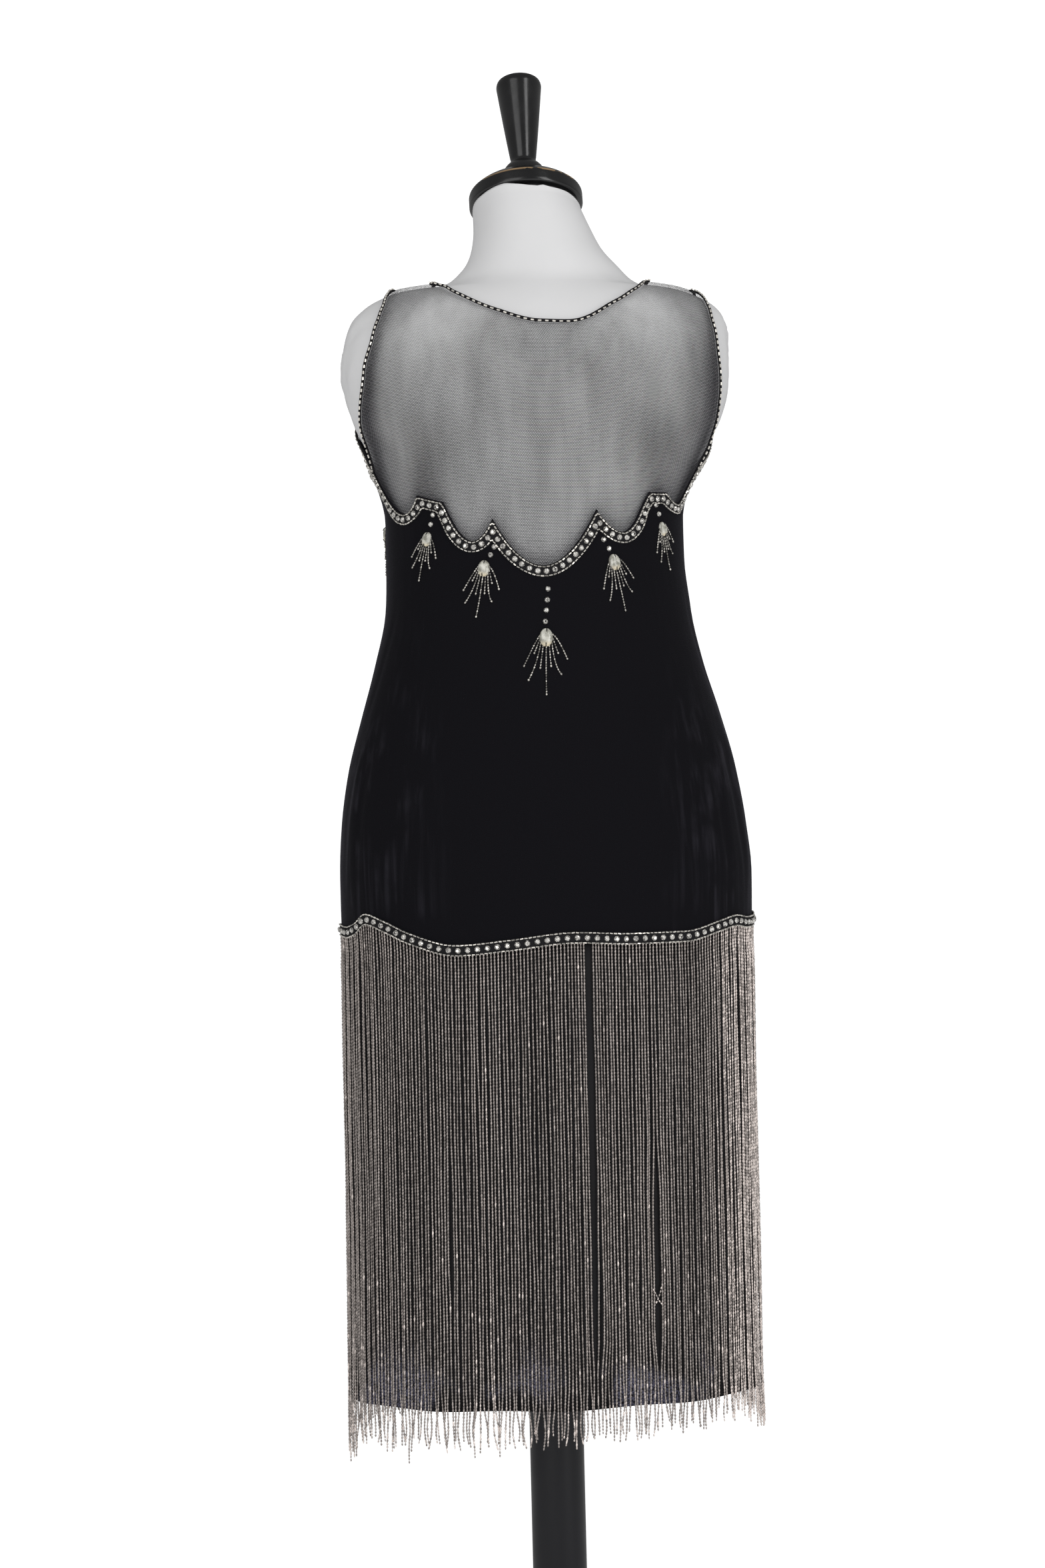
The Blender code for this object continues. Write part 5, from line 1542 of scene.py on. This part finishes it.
def relax(grid, turns):
    """Even out the inner points of a grid so that its cells don't cross."""
    for _ in range(turns):
        east = grid[1:-1, 2:]
        west = grid[1:-1, :-2]
        north = grid[2:, 1:-1]
        south = grid[:-2, 1:-1]
        along_row = (east - west) / 2
        along_column = (north - south) / 2
        alpha = (along_column ** 2).sum(-1, keepdims=True)
        beta = (along_row * along_column).sum(-1, keepdims=True)
        gamma = (along_row ** 2).sum(-1, keepdims=True)
        corners = grid[2:, 2:] - grid[2:, :-2] - grid[:-2, 2:] + grid[:-2, :-2]
        sums = alpha * (east + west) + gamma * (north + south) - beta / 2 * corners
        grid = grid.copy()
        grid[1:-1, 1:-1] = sums / (2 * (alpha + gamma))
    return grid


def patch(bottom, top, left, right):
    """Angles and levels of a four-sided patch between its edges."""
    rows = left.shape[0]
    columns = bottom.shape[0]
    u = np.linspace(0, 1, columns)[None, :, None]
    v = (1 - (1 - np.linspace(0, 1, rows)) ** ROW_CROWDING)[:, None, None]
    across = (1 - v) * bottom[None] + v * top[None]
    left_bow = left[:, None] - (1 - v) * bottom[0] - v * top[0]
    right_bow = right[:, None] - (1 - v) * bottom[-1] - v * top[-1]
    grid = across + (1 - u) * left_bow + u * right_bow
    scale = np.array([METRES_PER_DEGREE, METRES_PER_LEVEL])
    grid = relax(grid * scale, PATCH_TURNS) / scale
    return grid[..., 0], grid[..., 1]


def edge_points(rows, count):
    """Angles and levels in even angles along an edge given by angle and height."""
    table = np.array(rows)
    angles = np.linspace(table[0, 0], table[-1, 0], count)
    return np.stack([angles, level_at(soft_curve(table[:, 0], table[:, 1], angles))], -1)


def net_places(angles, levels, middle):
    """Distances over the cloth, across from a middle angle and up from the lowest level."""
    across = np.zeros_like(angles)
    along = np.zeros_like(angles)
    steps = 20
    low = np.full_like(levels, levels.min())
    for step in range(steps):
        here, there = step / steps, (step + 1) / steps
        a = cloth(middle + (angles - middle) * here, levels)
        b = cloth(middle + (angles - middle) * there, levels)
        across += np.linalg.norm(b - a, axis=-1)
        a = cloth(angles, low + (levels - low) * here)
        b = cloth(angles, low + (levels - low) * there)
        along += np.linalg.norm(b - a, axis=-1)
    return across * np.sign(angles - middle), along


def build_yokes():
    """Net between the scallops, the armholes and the neckline."""
    material = net_material()
    for side, scallops, low, high, armhole_low, armhole_high, neckline in YOKES:
        angles = np.linspace(low, high, NET_COLUMNS)
        heights = scallop_height(scallops, angles) + 0.0003
        bottom = np.stack([angles, level_at(heights)], -1)
        left = line_points(armhole_low, NET_ROWS, ROW_CROWDING)
        right = line_points(armhole_high, NET_ROWS, ROW_CROWDING)
        edge = edge_points(neckline, NET_COLUMNS - 2 * SHOULDER_COLUMNS)
        share = np.linspace(0, 1, SHOULDER_COLUMNS, endpoint=False)[:, None]
        first = left[-1] + (edge[0] - left[-1]) * share
        last = edge[-1] + (right[-1] - edge[-1]) * (share + 1 / SHOULDER_COLUMNS)
        top = np.concatenate([first, edge, last])
        left[0] = bottom[0]
        right[0] = bottom[-1]
        grid_angles, grid_levels = patch(bottom, top, left, right)
        grid = cloth(grid_angles, grid_levels, -NET_INSET)
        obj, width, length = sheet_object("net_yoke_" + side, grid, 0.0)
        across, along = net_places(grid_angles, grid_levels, (low + high) / 2)
        obj.data.uv_layers.remove(obj.data.uv_layers[0])
        give_uv(obj, across, along)
        give_attribute(obj, "shade", "FLOAT", net_shade(grid_angles, grid_levels, scallops))
        finished(obj, material, "net", "yoke_" + side)


def net_shade(angles, levels, scallops):
    """How much denser the net is drawn: partly denser net and partly painted shade at the armholes and just
    above the velvet, and painted shade and light at the spots of NET_SHADES.
    """
    heights = blend(levels, "height")
    above = heights - scallop_height(scallops, angles.ravel()).reshape(angles.shape)
    seam = np.exp(-np.clip(above, 0, None) / 0.007)
    place = np.linspace(0, 1, angles.shape[1])[None, :]
    side = np.minimum(place, 1 - place)
    armhole = np.exp(-(side / 0.058) ** 2) * np.clip((1.40 - heights) / 0.08, 0.25, 1.0)
    spots = soft_spots(NET_SHADES, angles, heights)
    return np.clip(0.06 + 0.40 * seam + 1.00 * armhole + spots, -0.3, 1.3)


def opening_lines():
    """Closed lines of the openings: name, line, side of the cloth, pitch of the beads and node."""
    neck = [edge_points(table, 150)[:-1] for table in (NECKLINE_BACK, NECKLINE_FRONT)]

    def velvet_corner(rows, low, high):
        angles = np.linspace(low, high, 14)
        return np.stack([angles, level_at(scallop_height(rows, angles))], -1)

    left = [
        line_points(ARMHOLE_LEFT_FRONT, 60)[:-1],
        line_points(ARMHOLE_LEFT_BACK, 70)[::-1],
        velvet_corner(SCALLOP_BACK, 180.0, 187.0)[-2:0:-1],
        velvet_corner(SCALLOP_FRONT, 167.0, 180.0)[:0:-1]]
    right = [
        line_points(ARMHOLE_RIGHT_BACK, 70)[:-1],
        line_points(ARMHOLE_RIGHT_FRONT, 60)[::-1],
        velvet_corner(SCALLOP_FRONT, 0.0, 13.0)[-2:0:-1],
        velvet_corner(SCALLOP_BACK, 346.0, 360.0)[:0:-1]]
    return (("neck", np.concatenate(neck), 1, NECK_PITCH, "neck_binding"),
            ("armhole_left", np.concatenate(left), -1, ARMHOLE_PITCH, "armhole_binding_left"),
            ("armhole_right", np.concatenate(right), -1, ARMHOLE_PITCH, "armhole_binding_right"))


def build_bindings():
    """Black bindings round the openings and the tube beads sewn on them."""
    cloth_settings, beads = settings()[:2]
    ground = shared(thread_material)
    half = cloth_settings.binding_width / 2
    turns = 2 * math.pi * np.arange(BINDING_SIDES) / BINDING_SIDES
    for name, line, inward, pitch, node in opening_lines():
        angles = np.degrees(np.unwrap(np.radians(line[:, 0])))
        middle = beside(angles, line[:, 1], inward * (BINDING_GAP + half))
        centre = cloth(middle[0], middle[1], -0.0001)
        way = unit(np.roll(centre, -1, axis=0) - np.roll(centre, 1, axis=0))
        out = outward(middle[0], middle[1])
        aside = unit(np.cross(out, way))
        rings = [centre + aside * half * math.cos(turn) - out * half * BINDING_FLATNESS * math.sin(turn)
                 for turn in turns]
        grid = np.stack(rings, axis=1)
        count = grid.shape[0] * BINDING_SIDES
        faces = [tuple(i % count for i in face)
                 for face in grid_faces(len(grid) + 1, BINDING_SIDES, closed=True)]
        obj = mesh_object("piping_" + name, grid.reshape(-1, 3), faces)
        finished(obj, ground, "binding", node)
        lift = half * 0.80 + beads.bugle_width * 0.42
        points = centre + out * lift * math.cos(BEAD_FACING) - aside * inward * lift * math.sin(BEAD_FACING)
        # A tone near 1 draws most of these tubes in the painted glint colour.
        line = {"points": points, "outs": out, "closed": True, "tone": 0.98}
        width = beads.bugle_width * 1.20
        make_beads(name + "_beads", [line], bugle_bead, shared(silver_material), "binding", [],
                   Pitch=beads.binding_pitch * pitch / NECK_PITCH, Length=0.0030, Width=width,
                   Height=width, Unevenness=0.06, Roll=0.06, Sway=0.12)
        if name == "neck":
            i = int(np.argmin(np.abs(angles - KNOT_ANGLE)))
            knot = {"points": points[i:i + 1], "outs": out[i:i + 1], "ways": way[i:i + 1], "joined": False}
            make_beads("neck_knot", [knot], ball_bead, ground, "binding", [], on_lines=False,
                       Length=0.0036, Width=0.0034, Height=0.0030)


class FLAPPER_OT_yoke(Builds, bpy.types.Operator):
    """Build the net yokes and the beaded bindings"""
    bl_idname = "flapper.yoke"
    bl_label = "Net yoke"
    builders = (build_yokes, build_bindings)


# beaded bands

def beaded_band(name, end, node, angles, levels, outs, tubes, tube_out, pitch, closed=False):
    """Strip of ground with rhinestones between two rows of tube beads; its lines go from below up."""
    beads = settings()[1]
    grid = np.stack([cloth(angles, level, out) for level, out in zip(levels, outs)])
    faces = grid_faces(len(grid), len(angles), closed)
    ground = mesh_object(name + "_ground" + end, grid.reshape(-1, 3), faces)
    finished(ground, shared(thread_material), "beaded_band", node)
    tube = beads.bugle_width
    edges = [cloth_line(angles, levels[row], tube_out, tone=0.62, closed=closed) for row in tubes]
    make_beads(name + "_tubes" + end, edges, bugle_bead, shared(silver_material), "beaded_band", [],
               Pitch=beads.bugle_length * 1.30, Length=beads.bugle_length, Width=tube, Height=tube,
               Unevenness=0.08, Roll=0.1, Sway=0.16, Spread=0.5)
    stone = beads.stone_width
    middle = [cloth_line(angles, levels[2], outs[2], closed=closed)]
    make_beads(name + "_stones" + end, middle, cut_stone, shared(rhinestone_material), "beaded_band", [],
               Pitch=pitch, Length=stone, Width=stone, Height=stone * 0.8, Unevenness=0.05)


# Lines of the bands: below the scalloped edge, and from the middle of the hips.
SCALLOP_ROWS = (0.0106, 0.0096, 0.0056, 0.0016, 0.0003)
SCALLOP_OUTS = (0.0004, 0.0009, 0.0011, 0.0009, 0.0004)
HIP_ROWS = (-0.0054, -0.0044, 0.0, 0.0044, 0.0054)
HIP_OUTS = (0.0007, 0.0013, 0.0017, 0.0013, 0.0007)


def build_bands():
    """Bands on the scalloped edges and one ring round the hips."""
    beads = settings()[1]
    for side, rows in PANELS:
        angles = panel_angles(rows, 300)[1:-1]
        levels = [level_at(below_edge(rows, angles, distance)) for distance in SCALLOP_ROWS]
        beaded_band("scallop", "_" + side, "scallop_band_" + side, angles, levels, SCALLOP_OUTS, (3, 1),
                    0.0010 + beads.bugle_width * 0.3, beads.scallop_pitch)
    angles = np.linspace(0, 360, 360, endpoint=False)
    levels = [level_at(hip_height(angles) + rise) for rise in HIP_ROWS]
    beaded_band("hip", "", "hip_band", angles, levels, HIP_OUTS, (1, 3),
                0.0013 + beads.bugle_width * 0.35, beads.hip_pitch, closed=True)


class FLAPPER_OT_bands(Builds, bpy.types.Operator):
    """Build the beaded bands"""
    bl_idname = "flapper.bands"
    bl_label = "Beaded bands"
    builders = (build_bands,)


# sprays

STONE_HALF = (0.0059, 0.0082)


def spray_points(row, places, out):
    """Points above the velvet and their outward directions, for places in metres from the stone."""
    _, angle, height, turn, size = row
    bend = math.radians(turn)
    x, y = np.asarray(places, float).T * size
    across = x * math.cos(bend) - y * math.sin(bend)
    along = x * math.sin(bend) + y * math.cos(bend)
    middle = np.full(len(x), angle)
    turned, _ = cloth_steps(middle, np.full(len(x), float(level_at(height))))
    angles = middle + across / np.linalg.norm(turned, axis=-1)
    levels = level_at(height + along)
    return velvet(angles, levels, out), outward(angles, levels)


def ray_places(ray):
    """Places along one ray, straight or bent, in metres from the middle of the stone."""
    start, middle, end = np.array(ray).reshape(3, 2) / 1000
    steps = np.linspace(0.0, 1.0, 12)[:, None]
    if np.allclose(middle, end):
        return start + (end - start) * steps
    pull = middle * 1.6 - (start + end) * 0.30
    return start * (1 - steps) ** 2 + pull * 2 * steps * (1 - steps) + end * steps ** 2


def build_sprays():
    """Oval stones, their rays of beads and the rhinestones above them."""
    steel = bead_material("Pewter beads", settings()[1].silver_colour, 0.22, 1.3, 0.26, 0.7)
    for side, _ in PANELS:
        rows = [row for row in SPRAYS if side in row[0]]
        rays = []
        tips = []
        for row in rows:
            for ray in RAYS:
                points, outs = spray_points(row, ray_places(ray), 0.0008)
                rays.append({"points": points, "outs": outs, "tone": 0.38})
                tips.append({"points": points[-1:], "outs": outs[-1:], "ways": points[-1:] - points[-2:-1],
                             "joined": False, "tone": 0.60})
        make_beads("spray_rays_" + side, rays, seed_bead, steel, "stone", [row[0] for row in rows],
                   Pitch=0.0023, Length=0.0021, Width=0.0018, Height=0.0016, Unevenness=0.12, Roll=1.0,
                   Spread=0.38)
        make_beads("spray_tips_" + side, tips, ball_bead, shared(silver_material), "stone", [],
                   on_lines=False, Length=0.0022, Width=0.0018, Height=0.0016, Unevenness=0.12)
        build_oval_stones(side, rows)
        drops = []
        for place, angle, height in DROP_STONES:
            if place == side:
                spot = (np.array([angle]), np.array([level_at(height)]))
                out = outward(*spot)
                drops.append({"points": velvet(*spot, 0.0001), "outs": out,
                              "ways": np.cross(out, [[0.0, 0.0, 1.0]]), "joined": False})
        make_beads("drop_stones_" + side, drops, cut_stone, shared(rhinestone_material), "stone", [],
                   on_lines=False, Length=0.0047, Width=0.0047, Height=0.0038, Unevenness=0.05)


def build_oval_stones(side, rows):
    """Domed oval stones with two black stitches each."""
    around = 20
    half_width, half_height = STONE_HALF
    tiers = ((1.00, 0.0000), (1.00, 0.0012), (0.92, 0.0026), (0.72, 0.0037), (0.40, 0.0043))
    vertices = []
    faces = []
    painted_glow = []
    stitches = []
    turns = np.radians(np.arange(around) * 360.0 / around)
    for row in rows:
        size = row[-1]
        scale = size ** 0.75
        real = scale / size
        start = len(vertices)
        places = [(-half_width * share * math.sin(turn) * real, half_height * share * math.cos(turn) * real)
                  for share, _ in tiers for turn in turns] + [(0.0, 0.0)]
        outs = np.repeat([out * scale for _, out in tiers], around).tolist() + [0.0045 * scale]
        vertices += spray_points(row, places, np.array(outs))[0].tolist()
        # Painted highlight: the value rises towards the lower edge of each stone.
        painted_glow += [0.5 - 0.5 * math.cos(turn) * share for share, _ in tiers for turn in turns] + [0.4]
        faces += [tuple(start + i for i in face) for face in grid_faces(len(tiers), around, closed=True)]
        crown = start + (len(tiers) - 1) * around
        faces += [(crown + i, crown + (i + 1) % around, start + len(tiers) * around) for i in range(around)]
        for end in (1, -1):
            arc = np.array(((1.12, 0.0002), (1.02, 0.0018), (0.86, 0.0036), (0.66, 0.0044)))
            places = np.stack([np.full(4, 0.0004 * end), end * half_height * arc[:, 0] * real], -1)
            stitches.append(spray_points(row, places, arc[:, 1] * scale)[0])
    obj = mesh_object("oval_stones_" + side, vertices, faces)
    give_attribute(obj, "painted_glow", "FLOAT", painted_glow)
    finished(obj, opal_material(), "stone")
    lines = []
    for arc in stitches:
        points = np.array(arc)
        outs = np.tile(points[-1] - points[0], (len(points), 1))
        lines.append({"points": points, "outs": np.cross(outs, [0.0, 0.0, 1.0]) + 1e-6})
    make_beads("stone_stitches_" + side, lines, seed_bead, shared(thread_material), "stone", [],
               Pitch=0.0006, Length=0.0012, Width=0.0008, Height=0.0008)


class FLAPPER_OT_sprays(Builds, bpy.types.Operator):
    """Build the stones and their sprays of beads"""
    bl_idname = "flapper.sprays"
    bl_label = "Sprays"
    builders = (build_sprays,)


# fringe

FRINGE_SIDES = (("back_left", 180.0, "fringe_back"), ("back_right", 270.0, "fringe_back"),
                ("front_right", 0.0, "fringe_front"), ("front_left", 90.0, "fringe_front"))


STRAND_PITCH = 0.0031
STRAND_TOP = 0.0058
STRAIGHT_END = 0.425
# Chances of a strand: spread of the tips, share of torn longer ends and their
# length, least depth and spread of depth, spread of the curl to the side and out.
TIP_SPREAD = 0.0038
LONG_SHARE = 0.06
LONG_REACH = 0.008
DEPTH_LEAST = 0.0011
DEPTH_SPREAD = 0.0017
CURL_ASIDE = 0.0021
CURL_WAVE = 0.0012
CURL_OUT = 0.0009
# Painted light on the brighter sides of the fringe: angle and rise of the tone.
FRINGE_PAINTED_LIGHT = (
    (0.0, 0.5), (12.0, 0.1), (168.0, 0.1), (190.0, 0.16),
    (205.0, 0.0), (312.0, 0.0), (330.0, 0.45), (360.0, 0.5),
)


def strand_angles(start, count):
    """Angles of the strands, the same distance apart round the hips."""
    fine = np.linspace(start, start + 90.0, 400)
    along = run_along(cloth(fine, level_at(np.full(400, 0.70))))
    return np.interp((np.arange(count) + 0.5) / count * along[-1], along, fine)


def parted(angles, heights, base):
    """Angles pushed aside where the fringe parts; the strand's own angle tells to which side."""
    moved = angles.copy()
    for angle_top, angle_foot, top, bottom, half_width in PARTINGS:
        line = angle_top + (angle_foot - angle_top) * part_of(top - heights, top - bottom)
        open_up = np.clip((top - heights) / 0.05 + 0.5 * (top > 0.8), 0, 1)
        push = half_width / STRAND_PITCH * open_up * part_of(heights - bottom, 0.03)
        side = 1.0 if turn_from(base, angle_top) >= 0.0 else -1.0
        moved = moved + side * push * np.exp(-(np.abs(turn_from(angles, line)) / 3.0) ** 1.5)
    return moved


def strand_line(angle, chances):
    """One strand: down the skirt, past the hem and out to its tip."""
    top = hip_height(np.array([angle]))[0] - STRAND_TOP
    end = along_table(FRINGE_ENDS, angle) + chances.normal(0.0, TIP_SPREAD)
    if chances.random() < LONG_SHARE:
        end -= LONG_REACH * chances.random()
    heights = np.concatenate([np.linspace(top, STRAIGHT_END, 30), np.linspace(STRAIGHT_END - 0.010, end, 8)])
    reach = chances.uniform(0.06, 0.20)
    drift = reach * np.sin(heights * chances.uniform(9.0, 18.0) + chances.uniform(0, 6.3))
    drift = drift + 0.05 * np.sin(heights * 70.0 + chances.uniform(0, 6.3))
    angles = parted(angle + drift * part_of(top - heights, 0.06), heights, angle)
    levels = level_at(heights)
    depth = DEPTH_LEAST + chances.uniform(0.0, DEPTH_SPREAD)
    depth = depth + 0.0004 * np.sin(heights * 25.0 + chances.uniform(0, 6.3))
    depth = depth * np.clip((top - heights) / 0.02, 0.45, 1)
    outs = outward(angles, levels)
    low = part_of(0.43 - heights, 0.055)
    aside = np.cross(outs, [0.0, 0.0, 1.0])
    sway = chances.normal(0.0, CURL_ASIDE) * low ** 1.4
    sway = sway + chances.normal(0.0, CURL_WAVE) * np.sin(low * 7.0) * low
    points = cloth(angles, levels, depth) + aside * sway[:, None]
    points = points + outs * (chances.normal(0.0005, CURL_OUT) * low)[:, None]
    points[:, 2] = heights
    slow = 0.05 * math.sin(math.radians(angle * 9.0)) + 0.03 * np.sin(heights * 22.0 + angle * 0.3)
    edge = along_table(FRINGE_PAINTED_LIGHT, angle)
    # The tone carries painted light on the bright sides (edge) and at the lower ends (low), where the white
    # behind shows through, with slow and random changes.
    tone = 0.45 + edge + slow + chances.normal(0.0, 0.06) + 0.30 * low
    longer = 0.004 + 0.066 * part_of(0.60 - heights, 0.15)
    size = np.where(heights < end + 0.004, 0.80, 1.0 - 0.08 * low)
    return {"points": points, "outs": outs, "tone": tone, "long": longer, "size": size}


def tangle_lines():
    """Two short ends that cross in the second parting."""
    tables = [np.array(rows) for rows in TANGLE]
    return [cloth_line(table[:, 0], level_at(table[:, 1]), 0.0024, tone=0.85, size=0.8)
            for table in tables]


def build_fringe():
    """Strands of beads all round, in four pieces."""
    beads = settings()[1]
    pewter = bead_material("Fringe beads", beads.bead_colour, 0.42, 2.0, 0.27, 0.55)
    for number, (name, start, node) in enumerate(FRINGE_SIDES):
        chances = np.random.default_rng(beads.seed + number)
        lines = [strand_line(angle, chances) for angle in strand_angles(start, beads.strands // 2)]
        if name == "back_right":
            lines += tangle_lines()
        make_beads("fringe_" + name, lines, seed_bead, pewter, "bead_fringe", [node],
                   Pitch=beads.bead_pitch, Length=beads.bead_pitch * 1.02, Width=beads.bead_width,
                   Height=beads.bead_width * 0.95, Unevenness=0.05, Roll=1.0, Spread=0.26)


class FLAPPER_OT_fringe(Builds, bpy.types.Operator):
    """Build the fringe"""
    bl_idname = "flapper.fringe"
    bl_label = "Fringe"
    builders = (build_fringe,)


# cut of the cloth: its builder does nothing


def declare_cut():
    """Does nothing: no flat cut of the panels is stated."""


class FLAPPER_OT_cut(Builds, bpy.types.Operator):
    """Runs a builder that does nothing: no flat cut of the cloth is stated"""
    bl_idname = "flapper.cut"
    bl_label = "Cut of the cloth"
    builders = (declare_cut,)


# stage

FLOOR_HALF = 14.0
FLOOR_LEVEL = -0.0004
FLOOR_GLOW = 0.62
WORLD_LIGHT = 0.46
WORLD_TO_CAMERA = 0.74
WORLD_IN_GLOSS = -0.22
# Softboxes: name, place, width, height and power in watts.
SOFTBOXES = (
    ("key_left", (-1.93, -2.92, 2.2), 2.6, 4.2, 46.0),
    ("key_right", (2.08, -2.81, 2.2), 1.1, 4.2, 49.0),
)


def build_floor():
    """Plain pale floor."""
    colour = settings()[3].backdrop
    corners = [(x * FLOOR_HALF, y * FLOOR_HALF, FLOOR_LEVEL) for x, y in ((-1, -1), (1, -1), (1, 1), (-1, 1))]
    floor = mesh_object("floor", corners, [(0, 1, 2, 3)], smooth=False)
    bpy.context.scene.collection.objects.link(floor)
    material, tree, shader = new_material("Pale floor", Roughness=0.85, Specular_IOR_Level=0.2,
                                          Emission_Color=(1.0, 1.0, 1.0, 1.0))
    grain = noise(tree, position(tree), 3.0, 2.0)
    seen = add_node(tree, "ShaderNodeLightPath").outputs["Is Camera Ray"]
    feed(shader, Base_Color=mix_colour(tree, grain, rgba(colour, 0.99), rgba(colour, 1.01)),
         Emission_Strength=maths(tree, "MULTIPLY", seen, FLOOR_GLOW))
    floor.data.materials.append(material)


def build_world():
    """Even white studio: pure white to the camera, a little softer as light."""
    world = bpy.data.worlds.new("White studio")
    world.use_nodes = True
    tree = world.node_tree
    background = tree.nodes["Background"]
    background.inputs["Color"].default_value = (1.0, 1.0, 1.0, 1.0)
    path = add_node(tree, "ShaderNodeLightPath").outputs
    strength = maths(tree, "MULTIPLY_ADD", path["Is Glossy Ray"], WORLD_IN_GLOSS, WORLD_LIGHT)
    feed(background, Strength=maths(tree, "MULTIPLY_ADD", path["Is Camera Ray"], WORLD_TO_CAMERA, strength))
    bpy.context.scene.world = world


def build_softboxes():
    """Two softboxes that face the pole's axis."""
    for name, place, width, height, power in SOFTBOXES:
        light = bpy.data.lights.new(name, "AREA")
        light.shape = "RECTANGLE"
        light.size = width
        light.size_y = height
        light.energy = power
        obj = bpy.data.objects.new(name, light)
        obj.location = place
        obj.rotation_euler = Vector((-place[0], -place[1], 0.0)).to_track_quat("-Z", "Y").to_euler()
        bpy.context.scene.collection.objects.link(obj)


def build_camera():
    """Camera at the height and angle of the picture, level and slightly rolled."""
    stage = settings()[3]
    forward = Vector((-math.sin(stage.turn), math.cos(stage.turn), 0.0))
    right = Vector((math.cos(stage.turn), math.sin(stage.turn), 0.0))
    up = Vector((0.0, 0.0, 1.0))
    image_right = right * math.cos(stage.roll) - up * math.sin(stage.roll)
    image_up = right * math.sin(stage.roll) + up * math.cos(stage.roll)
    place = up * stage.height - forward * stage.distance - right * CAMERA_SHIFT
    camera = bpy.data.cameras.new("camera")
    camera.sensor_width = SENSOR
    camera.lens = stage.distance / METRES_PER_PIXEL / PHOTO_HEIGHT * SENSOR
    camera.clip_end = 60.0
    obj = bpy.data.objects.new("camera", camera)
    turned = Matrix((image_right, image_up, -forward)).transposed().to_4x4()
    obj.matrix_world = Matrix.Translation(place) @ turned
    bpy.context.scene.collection.objects.link(obj)
    bpy.context.scene.camera = obj
    bpy.context.scene.view_settings.view_transform = "Standard"


class FLAPPER_OT_stage(Builds, bpy.types.Operator):
    """Build the floor, the light and the camera"""
    bl_idname = "flapper.stage"
    bl_label = "Stage"
    builders = (build_floor, build_world, build_softboxes, build_camera)


class FLAPPER_PT_panel(bpy.types.Panel):
    """Sidebar panel that builds the dress piece by piece"""
    bl_label = "Flapper Dress"
    bl_idname = "FLAPPER_PT_panel"
    bl_space_type = "VIEW_3D"
    bl_region_type = "UI"
    bl_category = "Flapper Dress"

    def draw(self, context):
        for group in settings():
            box = self.layout.box()
            for key in group.bl_rna.properties.keys():
                if key not in ("rna_type", "name"):
                    box.prop(group, key)
        for operator in OPERATORS:
            self.layout.operator(operator.bl_idname)


OPERATORS = (FLAPPER_OT_form, FLAPPER_OT_stand, FLAPPER_OT_bodice, FLAPPER_OT_skirt, FLAPPER_OT_yoke,
             FLAPPER_OT_bands, FLAPPER_OT_sprays, FLAPPER_OT_fringe, FLAPPER_OT_cut, FLAPPER_OT_stage)
GROUPS = (("flapper_cloth", FlapperClothSettings), ("flapper_beads", FlapperBeadSettings),
          ("flapper_stand", FlapperStandSettings), ("flapper_stage", FlapperStageSettings))
CLASSES = tuple(group for _, group in GROUPS) + OPERATORS + (FLAPPER_PT_panel,)


def register():
    for cls in CLASSES:
        bpy.utils.register_class(cls)
    for name, group in GROUPS:
        setattr(bpy.types.Scene, name, PointerProperty(type=group))


def unregister():
    for name, _ in GROUPS:
        delattr(bpy.types.Scene, name)
    for cls in reversed(CLASSES):
        bpy.utils.unregister_class(cls)


def main():
    register()
    bpy.ops.flapper.form()
    bpy.ops.flapper.stand()
    bpy.ops.flapper.bodice()
    bpy.ops.flapper.skirt()
    bpy.ops.flapper.yoke()
    bpy.ops.flapper.bands()
    bpy.ops.flapper.sprays()
    bpy.ops.flapper.fringe()
    bpy.ops.flapper.cut()
    bpy.ops.flapper.stage()


if __name__ == "__main__":
    main()
